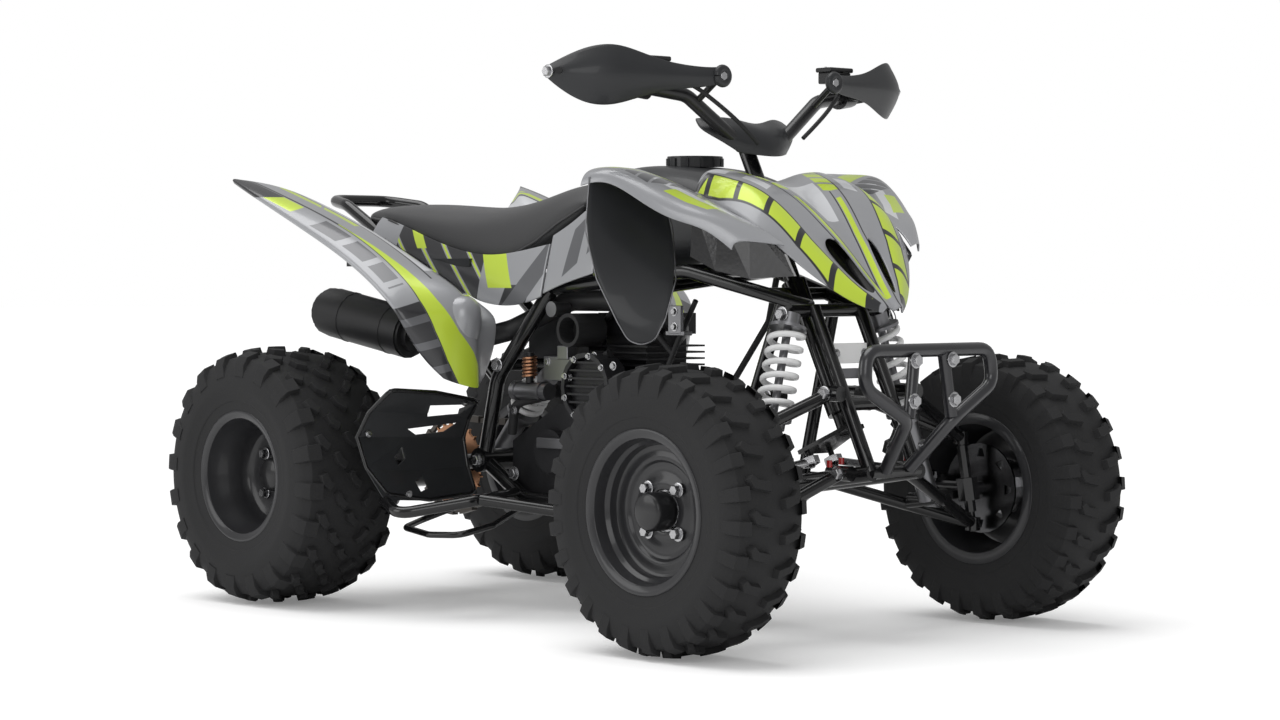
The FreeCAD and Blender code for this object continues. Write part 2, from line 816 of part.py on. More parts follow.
def sprocket(place):
    """A toothed disc with lightening holes, seated on the axle."""
    part = body("rear_sprocket")
    seat(part, place, Y)
    root = mm.sprocket_root_radius
    stacked(part, "sprocket_blank", "AdditivePrism", 0, root, mm.sprocket_wall, TOOTH_COUNT)
    sketch = drawn_on(part, "tooth_outline", "XY_Plane")
    closed(sketch, [(root + mm.sprocket_tooth * out, root * aside) for out, aside in TOOTH_SHARES])
    tooth = pad(part, "tooth", sketch, mm.sprocket_wall)
    ring_of(part, "teeth", tooth, sketch, TOOTH_COUNT)
    hole = stacked(part, "lightening_hole", "SubtractivePrism", 0, mm.sprocket_hole_radius,
                   mm.sprocket_wall, TUBE_COUNT)
    hole.setExpression("Placement.Base.x", mm.sprocket_hole_reach.words)
    ring_of(part, "lightening_holes", hole, sketch, HOLE_COUNT)
    axle_bore(part, "sprocket_bore")


rear_axle()

# Frame: each run of tube as shares, mirrored on the other side where it has one
LOWER_RAIL_SHARES = ((0.712, 0.062, 0.302), (0.44, 0.075, 0.262), (0.34, 0.115, 0.215),
                     (-0.14, 0.12, 0.215), (-0.262, 0.12, 0.285))
UPPER_RAIL_SHARES = ((0.562, 0.060, 0.590), (0.30, 0.115, 0.655), (0, 0.13, 0.625),
                     (-0.22, 0.12, 0.60), (-0.60, 0.10, 0.715))
TOWER_SHARES = ((0.568, 0.060, 0.590), (0.706, 0.060, 0.302))
REAR_POST_SHARES = ((-0.05, 0.132, 0.62), (-0.215, 0.125, 0.45), (-0.262, 0.12, 0.285))
BRACE_SHARES = ((-0.22, 0.12, 0.44), (-0.52, 0.104, 0.68))
DOWN_TUBE_SHARES = ((0.50, 0.068, 0.60), (0.38, 0.1, 0.23))
CROSS_SHARES = ((0.706, 0.062, 0.302), (0.564, 0.118, 0.584), (0.34, 0.115, 0.215),
                (-0.14, 0.12, 0.215), (-0.58, 0.102, 0.708), (0.30, 0.115, 0.655),
                (0.649, 0.061, 0.42), (0.468, 0.08, 0.613), (-0.200, 0.125, 0.472))
SWING_PIVOT_SHARES = (-0.262, 0.12, 0.285)
BUSH_SHARES = (0.613, 0.42)
BUSH_STAY_SHARES = (0.649, 0, 0.42)
SKID_SHARES = ((0.36, -0.100), (0.36, 0.100), (0.30, 0.112), (-0.10, 0.112),
               (-0.13, 0.090), (-0.13, -0.090), (-0.10, -0.112), (0.30, -0.112))
RAIL_FLOOR_SHARE = 0.215


def frame():
    parts = []
    for shares, radius in ((LOWER_RAIL_SHARES, mm.frame_tube_radius),
                           (UPPER_RAIL_SHARES, mm.tower_tube_radius),
                           (TOWER_SHARES, mm.tower_tube_radius),
                           (REAR_POST_SHARES, mm.frame_tube_radius),
                           (BRACE_SHARES, mm.cross_tube_radius),
                           (DOWN_TUBE_SHARES, mm.cross_tube_radius)):
        parts += both(tube(points(shares), radius))
    for reach, breadth, height in CROSS_SHARES:
        parts.append(tube([at(reach, -breadth, height), at(reach, breadth, height)], mm.cross_tube_radius))
    pivot = at(*SWING_PIVOT_SHARES)
    half = Y * (mm.pivot_boss_length / 2)
    parts += both(tube([pivot - half, pivot + half], mm.pivot_boss_radius, HUB_COUNT))
    for share in BUSH_SHARES:
        bush = stem_low + stem_up * ((level(share) - stem_low.z) / stem_up.z)
        half = stem_up * mm.stem_boss_radius
        parts.append(tube([bush - half, bush + half], mm.stem_boss_radius, HUB_COUNT))
    parts.append(tube([bush, at(*BUSH_STAY_SHARES)], mm.bar_tube_radius))
    bore = mm.stem_radius + mm.bearing_gap
    channel = rod(stem_low - stem_up * mm.stem_boss_radius, stem_high, bore)
    piece("frame", fused(parts).cut(channel))


def skid_plate():
    """The plate under the lower rails, on which the quad is propped for service."""
    part = body("skid_plate")
    drop = level(RAIL_FLOOR_SHARE) - mm.frame_tube_radius - mm.mirror_gap - mm.skid_wall
    sketch = drawn_on(part, "skid_outline", "XY_Plane", drop)
    closed(sketch, [(along * reach, across * aside) for reach, aside in SKID_SHARES])
    pad(part, "skid_sheet", sketch, mm.skid_wall)


frame()
skid_plate()

BUMPER_SHARES = ((0.715, 0.030, 0.306), (0.792, 0.059, 0.396), (0.790, 0.166, 0.455),
                 (0.788, 0.160, 0.517))
UPRIGHT_SHARES = ((0.788, 0.037, 0.517), (0.792, 0.055, 0.400))
GRAB_SHARES = ((-0.590, 0.100, 0.718), (-0.725, 0.100, 0.791), (-0.812, 0.072, 0.803))
PEG_SHARES = ((-0.16, 0.125, 0.225), (-0.064, 0.300, 0.226), (-0.159, 0.420, 0.200),
              (-0.235, 0.392, 0.220))
PEG_FRONT_SHARES = ((0.10, 0.122, 0.215), (0.049, 0.200, 0.205), (-0.064, 0.300, 0.226))
UPPER_INNER_SHARES = ((0.648, 0.100, 0.440), (0.505, 0.100, 0.432))
LOWER_INNER_SHARES = ((0.655, 0.081, 0.300), (0.455, 0.081, 0.272))
SHOCK_SHARES = ((0.590, 0.225, 0.236), (0.562, 0.112, 0.578))
SHOCK_SEAT_SHARE = 0.045
REAR_SHOCK_SHARES = ((-0.36, 0, 0.288), (-0.20, 0, 0.472))


def tubework():
    guard = hoop(BUMPER_SHARES, mm.bumper_tube_radius, mm.bumper_bend)
    uprights = both(tube(points(UPRIGHT_SHARES), mm.bumper_tube_radius * 0.9))
    piece("front_bumper", fused([guard] + uprights).cut(shape_of("frame")))
    grab = hoop(GRAB_SHARES, mm.grab_tube_radius, mm.grab_bend)
    piece("grab_bar", grab.cut(shape_of("frame")))
    peg = fused([tube(bent(points(PEG_SHARES), mm.peg_bend), mm.peg_tube_radius),
                 tube(points(PEG_FRONT_SHARES), mm.peg_tube_radius)])
    piece("foot_pegs", Part.makeCompound(both(peg)).cut(shape_of("frame")))


def arms(label, shares, joint):
    """An A-arm on each side: two tubes from the frame's pivots to the knuckle's eye."""
    half = kingpin * (mm.ball_radius - mm.panel_gap)
    parts = [tube([joint - half, joint + half], mm.ball_radius, HUB_COUNT)]
    for pivot in points(shares):
        reach = X * (mm.pivot_tube_length / 2)
        parts.append(tube([pivot - reach, pivot + reach], mm.pivot_tube_radius))
        parts.append(tube([pivot, joint + (pivot - joint) * 0.04], mm.arm_tube_radius))
    if joint is ball_low:
        rest = at(*SHOCK_SHARES[0])
        reach = X * (SHOCK_SEAT_SHARE * along)
        parts.append(tube([rest - reach, rest + reach], mm.arm_tube_radius))
    bore = rod(joint - half * 3, joint + half * 3, mm.tie_rod_radius + mm.panel_gap)
    piece(label, clear(Part.makeCompound(both(fused(parts).cut(bore))), "frame"))


COIL_COUNT = 6
COIL_SIDE_COUNT = 6
SEAT_TALL_SHARE = 0.48
CAP_TALL_SHARE = 0.08


def shocks():
    """Front dampers with their springs, and the single one over the swingarm."""
    front = [points(SHOCK_SHARES, side) for name, side in SIDES]
    for label, ends in (("front", front), ("rear", [points(REAR_SHOCK_SHARES)])):
        dampers, springs = [], []
        for low, high in ends:
            rise = unit(high - low)
            tall = (high - low).Length
            lower, upper = low + rise * (tall * SEAT_TALL_SHARE), high - rise * (tall * CAP_TALL_SHARE)
            wall = rise * mm.panel_wall
            dampers.append(fused([
                tube([low, lower], mm.damper_radius * 1.3), tube([lower, upper], mm.damper_radius / 2,
                                                                 DAMPER_COUNT),
                tube([upper, high], mm.damper_radius * 1.3),
                tube([lower - wall, lower], mm.spring_radius * 1.2, HUB_COUNT),
                tube([upper, upper + wall], mm.spring_radius * 1.2, HUB_COUNT)]))
            springs.append(coil(lower, upper))
        piece(label + "_dampers", clear(Part.makeCompound(dampers), "frame", "lower_arms",
                                        "upper_arms", "swingarm"))
        piece(label + "_springs", Part.makeCompound(springs))


def coil(low, high):
    """A spring of square wire with flats, between its two seats."""
    rise = unit(high - low)
    side = unit(rise.cross(X))
    front = rise.cross(side)
    wire = mm.spring_wire_radius
    tall = (high - low).Length - 2 * wire - 2 * mm.panel_gap
    steps = COIL_COUNT * COIL_SIDE_COUNT
    sections = []
    for step in range(steps + 1):
        turn = math.tau * step / COIL_SIDE_COUNT
        outward = side * math.cos(turn) + front * math.sin(turn)
        middle = low + rise * (wire + mm.panel_gap + tall * step / steps) + outward * mm.spring_radius
        sections.append([middle + outward * wire, middle + rise * wire,
                         middle - outward * wire, middle - rise * wire])
    faces = [Part.Face(Part.makePolygon(cap + cap[:1])) for cap in (sections[0], sections[-1])]
    for section, following in zip(sections, sections[1:]):
        faces += facets([section + section[:1], following + following[:1]])
    return solid_of(faces)


# Engine: the case's side outline, its covers, and the barrel with its fins
CASE_SHARES = ((-0.155, 0.222), (0.130, 0.226), (0.205, 0.270), (0.205, 0.345), (0.150, 0.400),
               (-0.060, 0.400), (-0.150, 0.350), (-0.195, 0.325), (-0.195, 0.265))
CASE_SIDE_SHARES = (0.058, -0.105)
COVER_SHARES = ((0.095, 0.060, 0.030), (-0.070, 0.042, 0.018))
COVER_HEIGHT_SHARE = 0.310
FLYWHEEL_SHARES = (0.085, 0.320, 0.068, 0.020)
OUTPUT_SHARES = (-0.165, 0.300)
BARREL_SHARES = ((0.015, -0.050), (0.125, -0.050), (0.125, 0.055), (0.015, 0.055))
FIN_SHARES = ((-0.010, -0.070), (0.150, -0.070), (0.150, 0.080), (-0.010, 0.080))
HEAD_SHARES = ((0.000, -0.058), (0.140, -0.058), (0.140, 0.066), (0.000, 0.066))
BARREL_FOOT_SHARE = 0.4003
BARREL_TOP_SHARE = 0.575
FIN_FOOT_SHARE = 0.415
HEAD_FOOT_SHARE = 0.535
FIN_COUNT = 9


def round_cover(part, name, reach, lift, height, way, radius, depth):
    """A round cover on one of the case's sides."""
    cover = part.newObject("PartDesign::AdditivePrism", name)
    cover.Polygon = RIM_COUNT
    bind(cover, "Circumradius", radius)
    bind(cover, "Height", depth)
    seat(cover, spot(reach, lift, height), way)


def engine():
    left, right = CASE_SIDE_SHARES
    case = doc.addObject("PartDesign::Body", "engine_case_body")
    sketch = drawn_on(case, "case_outline", "XZ_Plane", across * -left)
    closed(sketch, [(along * reach, level(height)) for reach, height in CASE_SHARES])
    pad(case, "case", sketch, across * (left - right))
    for number, (reach, radius, depth) in enumerate(COVER_SHARES):
        round_cover(case, f"right_cover_{number}", reach, right, COVER_HEIGHT_SHARE, -Y,
                    up * radius, across * depth)
    reach, height, radius, depth = FLYWHEEL_SHARES
    round_cover(case, "flywheel_cover", reach, left, height, Y, up * radius, across * depth)
    reach, height = OUTPUT_SHARES
    plane = across * SPROCKET_SHARE
    for name, radius, far in (("output_shaft", mm.spindle_radius, plane + mm.sprocket_wall * 2),
                              ("drive_sprocket", mm.drive_sprocket_radius, plane + mm.sprocket_wall)):
        near = across * left if name == "output_shaft" else plane
        step = case.newObject("PartDesign::AdditivePrism", name)
        step.Polygon = FRONT_CHAIN_COUNT * 2
        bind(step, "Circumradius", radius)
        bind(step, "Height", far - near)
        seat(step, (along * reach, near, level(height)), Y)
    keep("engine_case", less("engine_case_seated", case, pieces["frame"]))
    barrel = body("engine_cylinder")
    for name, shares, low, high in (("barrel", BARREL_SHARES, BARREL_FOOT_SHARE, BARREL_TOP_SHARE),
                                    ("head", HEAD_SHARES, HEAD_FOOT_SHARE, BARREL_TOP_SHARE)):
        sketch = drawn_on(barrel, name + "_outline", "XY_Plane", level(low))
        closed(sketch, [(along * reach, across * aside) for reach, aside in shares])
        pad(barrel, name, sketch, up * (high - low))
    sketch = drawn_on(barrel, "fin_outline", "XY_Plane", level(FIN_FOOT_SHARE))
    closed(sketch, [(along * reach, across * aside) for reach, aside in FIN_SHARES])
    fin = pad(barrel, "fin", sketch, mm.fin_wall)
    row_of(barrel, "fins", fin, sketch, "N_Axis", mm.fin_pitch * (FIN_COUNT - 1), FIN_COUNT)


FAN_SHARES = (0.070, -0.1055, 0.436)
LOUVRE_COUNT = 7


def fan_cover():
    """A round cover with slanted louvres in its mouth."""
    place = spot(*FAN_SHARES)
    mouth = beyond(place, mm.fan_depth * -1.4)
    shell = less("fan_shell", prism("fan_drum", place, -Y, mm.fan_radius, mm.fan_depth * 2, RIM_COUNT),
                 prism("fan_mouth", mouth, -Y, mm.fan_radius - mm.fan_rim, mm.fan_depth, RIM_COUNT))
    slats = []
    for number in range(LOUVRE_COUNT):
        lift = mm.louvre_pitch * (number - (LOUVRE_COUNT - 1) / 2)
        slat = block(f"louvre_{number}", (place[0] - mm.fan_radius, mouth[1] - mm.fan_depth * 0.45,
                                          place[2] + lift),
                     mm.fan_radius * 2, mm.fan_depth * 0.45, mm.louvre_wall)
        slats.append(slat)
    trimmed = doc.addObject("Part::MultiCommon", "louvres")
    trimmed.Shapes = [joined("louvre_row", slats),
                      prism("louvre_trim", mouth, -Y, mm.fan_radius - mm.fan_rim / 2, mm.fan_depth,
                            RIM_COUNT)]
    keep("fan_cover", less("fan_cover_seated", joined("fan_louvred", [shell, trimmed]),
                           pieces["engine_case"]))


INTAKE_SHARES = ((-0.0303, 0.010, 0.530), (0.0146, 0.010, 0.530))
FILTER_SHARES = ((0.022, -0.156, 0.543), (0.022, -0.084, 0.543))
FILTER_NECK_SHARES = ((0.022, -0.100, 0.543), (-0.020, -0.090, 0.540), (-0.060, -0.040, 0.535))
AIRBOX_SHARES = ((-0.205, -0.055, 0.4845), (-0.0306, 0.100, 0.568))
SWING_FRONT_SHARES = (-0.262, 0.083, 0.285)
SWING_REAR_SHARE = 0.104
SWING_BRACE_SHARES = (-0.36, 0.09, 0.285)
CARRIER_SHARES = (-0.108, 0.062)
MUFFLER_SHARES = ((-0.385, -0.20, 0.530), (-0.625, -0.225, 0.575))
EXHAUST_SHARES = ((0.150, -0.010, 0.525), (0.200, -0.030, 0.550), (0.165, -0.090, 0.598),
                  (-0.045, -0.088, 0.598), (-0.190, -0.112, 0.540), (-0.280, -0.172, 0.512),
                  (-0.386, -0.200, 0.530))


def breathing():
    """Airbox, carburettor throat and the round filter on the right."""
    keep("airbox", less("airbox_seated", block_between("airbox_block", *AIRBOX_SHARES), pieces["frame"]))
    throat = tube(points(INTAKE_SHARES), mm.pipe_radius)
    outer, inner = points(FILTER_SHARES)
    canister = tube([outer, inner], mm.muffler_cap_radius * 0.8, RIM_COUNT)
    mouth = tube([outer, outer + (inner - outer) / 2], mm.muffler_cap_radius * 0.62, RIM_COUNT)
    neck = tube(points(FILTER_NECK_SHARES), mm.pipe_radius * 0.8)
    filter_unit = fused([canister.cut(mouth), neck])
    solids = [main_solid(clear(shape, "frame", "airbox", "engine_cylinder"))
              for shape in (throat, filter_unit)]
    piece("intake", Part.makeCompound(solids))


def swingarm():
    front = at(*SWING_FRONT_SHARES)
    rear = axle_middle + Y * (SWING_REAR_SHARE * across)
    arms_made = both(tube([front, rear], mm.frame_tube_radius))
    pivot = at(*SWING_PIVOT_SHARES)
    half = Y * (pivot.y - mm.pivot_boss_length / 2 - mm.seat_gap)
    pivot.y = 0
    low, high = CARRIER_SHARES
    stay = front + (rear - front) * ((SWING_BRACE_SHARES[0] * along - front.x) / (rear.x - front.x))
    brace = Y * stay.y
    stay.y = 0
    brake = caliper(axle_middle, BRAKE_SHARE * across, mm.sprocket_wall, mm.rear_brake_radius)
    brake = brake.mirror(axle_middle, X)
    solid = fused(arms_made + [
        tube([pivot - half, pivot + half], mm.pivot_boss_radius * 0.9, HUB_COUNT),
        tube([stay - brace, stay + brace], mm.frame_tube_radius),
        tube([axle_middle + Y * (low * across), axle_middle + Y * (high * across)], mm.axle_hub_radius,
             RIM_COUNT),
        tube([rear - Y * mm.rim_flange * 2, rear + Y * mm.rim_flange * 2], mm.axle_hub_radius, RIM_COUNT),
        brake])
    reach = Y * mm.wheelbase
    bore = rod(axle_middle - reach, axle_middle + reach, mm.axle_radius + mm.bearing_gap)
    piece("swingarm", clear(solid.cut(bore), "frame"))


def exhaust():
    front, rear = points(MUFFLER_SHARES)
    way = unit(rear - front)
    case = fused([tube([front, rear], mm.muffler_radius, RIM_COUNT),
                  tube([front - way * mm.muffler_cap_length, rear + way * mm.muffler_cap_length],
                       mm.muffler_cap_radius, RIM_COUNT)])
    outlet = tube([rear, rear + way * mm.muffler_cap_length * 2], mm.pipe_radius)
    piece("muffler", case.cut(outlet))
    pipe = tube(bent(points(EXHAUST_SHARES), mm.pipe_bend * 0.6, 2), mm.pipe_radius)
    piece("exhaust_pipe", main_solid(clear(pipe, "frame", "engine_cylinder", "muffler", "airbox",
                                           "intake", "fan_cover")))


REAR_CHAIN_COUNT = 16
FRONT_CHAIN_COUNT = 6
RUN_CHAIN_COUNT = 10


def chain_route(front, rear, lift):
    """Corners of the chain's loop at a height over the sprockets' pitch."""
    way = front - rear
    big = mm.sprocket_root_radius + mm.sprocket_tooth
    lean = math.acos((big - mm.drive_sprocket_radius) / way.Length)
    tilt = math.atan2(way.z, way.x)
    bends = [(rear, big, lean, math.tau - lean, REAR_CHAIN_COUNT),
             (front, mm.drive_sprocket_radius, -lean, lean, FRONT_CHAIN_COUNT)]
    loop = []
    for centre, radius, first, last, count in bends:
        reach = (radius + mm.seat_gap) / math.cos((last - first) / count / 2) + lift
        for step in range(count + 1):
            turn = tilt + first + (last - first) * step / count
            loop.append(centre + Vector(math.cos(turn), 0, math.sin(turn)) * reach)
    return loop


def split(start, end, count):
    return [start + (end - start) * (step / count) for step in range(count)]


def chain():
    """Outer and inner links by turns, round both sprockets."""
    plane = Y * (SPROCKET_SHARE * across + mm.sprocket_wall / 2)
    reach, height = OUTPUT_SHARES
    front, rear = at(reach, 0, height) + plane, axle_middle + plane
    bands = []
    for low, high, width in ((0, mm.link_inner_height, mm.link_inner_width),
                             (0, mm.chain_height, mm.chain_width)):
        inner, outer = chain_route(front, rear, low), chain_route(front, rear, high)
        bands.append((links_of(inner), links_of(outer), width))
    inner_links, outer_links, width = bands[0]
    core = []
    for ring in (outer_links, inner_links):
        core.append(Part.Face(Part.makePolygon([point - Y * (width / 2) for point in ring + ring[:1]])))
    parts = [core[0].cut(core[1]).extrude(Y * width)]
    inner_links, outer_links, width = bands[1]
    for number in range(0, len(inner_links) - 1, 2):
        quad = [inner_links[number], inner_links[number + 1], outer_links[number + 1], outer_links[number]]
        parts.append(plate([point - Y * (width / 2) for point in quad], Y * width))
    piece("drive_chain", fused(parts))


def links_of(loop):
    """The loop with its two straight runs split into links."""
    rear_end, front_end = REAR_CHAIN_COUNT, REAR_CHAIN_COUNT + FRONT_CHAIN_COUNT + 1
    split_runs = loop[:rear_end] + split(loop[rear_end], loop[rear_end + 1], RUN_CHAIN_COUNT)
    split_runs += loop[rear_end + 1:front_end] + split(loop[front_end], loop[0], RUN_CHAIN_COUNT)
    return split_runs


tubework()
arms("lower_arms", LOWER_INNER_SHARES, ball_low)
arms("upper_arms", UPPER_INNER_SHARES, ball_high)
engine()
fan_cover()
breathing()
swingarm()
exhaust()
chain()
shocks()

# Bodywork: each table is a grid of points, one row for each station along the quad;
# rows of the middle pieces run outwards from the quad's middle
COWL_SHARES = (
    ((0.708, 0, 0.584), (0.709, 0.010, 0.592), (0.708, 0.018, 0.590), (0.706, 0.024, 0.584)),
    ((0.675, 0, 0.606), (0.678, 0.030, 0.622), (0.676, 0.060, 0.616), (0.678, 0.078, 0.602)),
    ((0.637, 0, 0.647), (0.640, 0.045, 0.672), (0.640, 0.090, 0.668), (0.640, 0.128, 0.640)),
    ((0.580, 0, 0.712), (0.590, 0.056, 0.745), (0.590, 0.120, 0.735), (0.585, 0.182, 0.700)),
    ((0.527, 0, 0.755), (0.532, 0.056, 0.804), (0.523, 0.150, 0.811), (0.540, 0.185, 0.745)),
    ((0.477, 0, 0.802), (0.477, 0.060, 0.825), (0.465, 0.160, 0.825), (0.480, 0.192, 0.765)),
    ((0.401, 0, 0.809), (0.400, 0.060, 0.835), (0.395, 0.165, 0.838), (0.410, 0.200, 0.790)),
)
FENDER_SHARES = (
    ((0.600, 0.165, 0.700), (0.578, 0.205, 0.705), (0.551, 0.242, 0.708), (0.548, 0.244, 0.690)),
    ((0.560, 0.180, 0.730), (0.545, 0.225, 0.745), (0.515, 0.270, 0.752), (0.512, 0.274, 0.730)),
    ((0.500, 0.190, 0.755), (0.480, 0.245, 0.775), (0.470, 0.305, 0.768), (0.466, 0.310, 0.742)),
    ((0.424, 0.200, 0.790), (0.420, 0.265, 0.812), (0.425, 0.332, 0.800), (0.421, 0.338, 0.772)),
    ((0.350, 0.210, 0.820), (0.352, 0.285, 0.838), (0.355, 0.352, 0.846), (0.351, 0.358, 0.818)),
    ((0.282, 0.215, 0.838), (0.290, 0.290, 0.842), (0.300, 0.365, 0.835), (0.297, 0.372, 0.805)),
)
FLAP_SHARES = (
    ((0.330, 0.215, 0.826), (0.320, 0.300, 0.832), (0.315, 0.366, 0.820)),
    ((0.375, 0.220, 0.730), (0.345, 0.310, 0.720), (0.325, 0.385, 0.725)),
    ((0.420, 0.255, 0.640), (0.375, 0.320, 0.625), (0.340, 0.372, 0.640)),
    ((0.440, 0.300, 0.570), (0.400, 0.335, 0.555), (0.372, 0.352, 0.565)),
    ((0.425, 0.312, 0.532), (0.405, 0.325, 0.524), (0.385, 0.338, 0.532)),
)
TANK_SHARES = (
    ((0.385, 0, 0.800), (0.380, 0.080, 0.806), (0.385, 0.135, 0.790)),
    ((0.330, 0, 0.828), (0.325, 0.080, 0.832), (0.325, 0.140, 0.812)),
    ((0.260, 0, 0.847), (0.255, 0.085, 0.848), (0.255, 0.145, 0.825)),
    ((0.160, 0, 0.848), (0.160, 0.095, 0.858), (0.155, 0.148, 0.826)),
    ((0.080, 0, 0.845), (0.080, 0.085, 0.846), (0.075, 0.142, 0.808)),
    ((0.030, 0, 0.838), (0.030, 0.075, 0.822), (0.030, 0.122, 0.772)),
)
TANK_DEPTH_SHARE = 0.13
CAP_SHARES = (0.205, 0, 0.840)
RIDGE_SHARES = ((0.90, -0.09), (1.06, -0.05), (1.06, 0.05), (0.90, 0.09))
RIDGE_COUNT = 12
SEAT_SHARES = (
    ((0.028, 0, 0.830), (0.028, 0.070, 0.818), (0.028, 0.105, 0.800), (0.028, 0.120, 0.790)),
    ((-0.040, 0, 0.829), (-0.040, 0.078, 0.820), (-0.040, 0.112, 0.785), (-0.040, 0.128, 0.757)),
    ((-0.102, 0, 0.816), (-0.102, 0.082, 0.806), (-0.102, 0.115, 0.765), (-0.102, 0.132, 0.722)),
    ((-0.180, 0, 0.797), (-0.180, 0.088, 0.785), (-0.180, 0.120, 0.740), (-0.180, 0.135, 0.692)),
    ((-0.260, 0, 0.786), (-0.260, 0.092, 0.775), (-0.260, 0.124, 0.735), (-0.260, 0.137, 0.694)),
    ((-0.340, 0, 0.783), (-0.340, 0.094, 0.773), (-0.340, 0.126, 0.742), (-0.340, 0.138, 0.704)),
    ((-0.450, 0, 0.790), (-0.450, 0.094, 0.780), (-0.450, 0.124, 0.762), (-0.450, 0.136, 0.736)),
    ((-0.545, 0, 0.794), (-0.545, 0.090, 0.788), (-0.545, 0.116, 0.778), (-0.545, 0.128, 0.768)),
    ((-0.642, 0, 0.791), (-0.642, 0.070, 0.787), (-0.642, 0.090, 0.781), (-0.642, 0.100, 0.775)),
    ((-0.692, 0, 0.771), (-0.692, 0.050, 0.770), (-0.690, 0.066, 0.768), (-0.688, 0.076, 0.766)),
)
TRAY_SHARES = ((-0.66, -0.152, 0.664), (-0.27, 0.152, 0.679))
REAR_FENDER_SHARES = (
    ((-0.722, 0.130, 0.832), (-0.728, 0.250, 0.838), (-0.731, 0.350, 0.842), (-0.733, 0.382, 0.841),
     (-0.726, 0.386, 0.822)),
    ((-0.640, 0.135, 0.800), (-0.645, 0.250, 0.822), (-0.645, 0.350, 0.822), (-0.640, 0.398, 0.805),
     (-0.640, 0.404, 0.780)),
    ((-0.555, 0.140, 0.765), (-0.560, 0.250, 0.790), (-0.560, 0.350, 0.788), (-0.555, 0.400, 0.768),
     (-0.555, 0.406, 0.742)),
    ((-0.460, 0.143, 0.730), (-0.465, 0.250, 0.752), (-0.465, 0.350, 0.752), (-0.460, 0.402, 0.730),
     (-0.460, 0.408, 0.704)),
    ((-0.365, 0.146, 0.695), (-0.370, 0.250, 0.712), (-0.372, 0.350, 0.714), (-0.368, 0.402, 0.694),
     (-0.368, 0.408, 0.668)),
    ((-0.275, 0.148, 0.668), (-0.285, 0.250, 0.678), (-0.290, 0.350, 0.676), (-0.288, 0.398, 0.655),
     (-0.288, 0.404, 0.628)),
    ((-0.205, 0.150, 0.640), (-0.215, 0.250, 0.645), (-0.225, 0.350, 0.632), (-0.225, 0.392, 0.606),
     (-0.225, 0.397, 0.582)),
    ((-0.135, 0.155, 0.606), (-0.150, 0.250, 0.600), (-0.165, 0.345, 0.580), (-0.185, 0.385, 0.560),
     (-0.187, 0.390, 0.535)),
    ((-0.150, 0.160, 0.560), (-0.165, 0.245, 0.548), (-0.185, 0.330, 0.530), (-0.205, 0.368, 0.515),
     (-0.212, 0.374, 0.495)),
    ((-0.170, 0.165, 0.505), (-0.188, 0.240, 0.490), (-0.205, 0.310, 0.475), (-0.222, 0.345, 0.465),
     (-0.230, 0.352, 0.448)),
)
REAR_FENDER_WAY = Vector(-0.5, -0.45, -0.75)
FRONT_FENDER_WAY = Vector(-0.2, -0.5, -0.85)
FLAP_WAY = Vector(-0.8, -0.6, 0)
SIDE_WAY = Vector(0, -0.8, -0.6)
GUARD_WAY = Vector(-1, -0.2, 0)
HEEL_WAY = Vector(-1, 0, 0)
LAMP_WAY = Vector(-0.6, -0.8, 0)
SIDE_PANEL_SHARES = (
    ((0.040, 0.126, 0.770), (0.042, 0.146, 0.712), (0.060, 0.152, 0.645)),
    ((-0.030, 0.134, 0.735), (-0.030, 0.148, 0.700), (-0.020, 0.153, 0.640)),
    ((-0.100, 0.140, 0.700), (-0.100, 0.150, 0.672), (-0.090, 0.154, 0.635)),
    ((-0.170, 0.142, 0.676), (-0.170, 0.150, 0.660), (-0.160, 0.153, 0.642)),
)
BLISTER_SHARES = (-0.178, 0.236, 0.545)
BLISTER_RADIUS_SHARE = 0.036
HEEL_SHARES = (
    ((-0.200, 0.185, 0.405), (-0.205, 0.290, 0.425), (-0.212, 0.395, 0.432)),
    ((-0.240, 0.176, 0.370), (-0.246, 0.295, 0.382), (-0.252, 0.418, 0.388)),
    ((-0.265, 0.170, 0.330), (-0.270, 0.300, 0.335), (-0.276, 0.428, 0.340)),
    ((-0.252, 0.170, 0.275), (-0.256, 0.296, 0.272), (-0.258, 0.418, 0.280)),
    ((-0.225, 0.170, 0.222), (-0.223, 0.290, 0.215), (-0.223, 0.400, 0.222)),
)
# Slots through the heel guard: corners (share across, share up), cut fore and aft
HEEL_SLOT_SHARES = (
    ((0.189, 0.397), (0.284, 0.397), (0.276, 0.375), (0.205, 0.379)),
    ((0.202, 0.361), (0.313, 0.352), (0.290, 0.340), (0.225, 0.344)),
    ((0.322, 0.320), (0.346, 0.300), (0.340, 0.282), (0.318, 0.296)),
    ((0.286, 0.262), (0.310, 0.252), (0.304, 0.232), (0.284, 0.238)),
)
SLOT_REACH_SHARE = 0.4
HANDGUARD_SHARES = (
    ((0.415, 0.150, 0.985), (0.420, 0.150, 0.998), (0.415, 0.150, 1.010)),
    ((0.432, 0.200, 0.958), (0.442, 0.200, 1.003), (0.430, 0.200, 1.044)),
    ((0.425, 0.280, 0.952), (0.440, 0.280, 1.010), (0.425, 0.280, 1.062)),
    ((0.385, 0.370, 0.965), (0.400, 0.370, 1.008), (0.388, 0.370, 1.045)),
    ((0.325, 0.445, 0.992), (0.330, 0.448, 1.004), (0.325, 0.445, 1.016)),
)
GUARD_STAY_SHARES = ((0.3598, 0.150, 0.956), (0.425, 0.170, 0.998))
GUARD_END_SHARES = ((0.302, 0.4165, 1.004), (0.331, 0.441, 1.004))
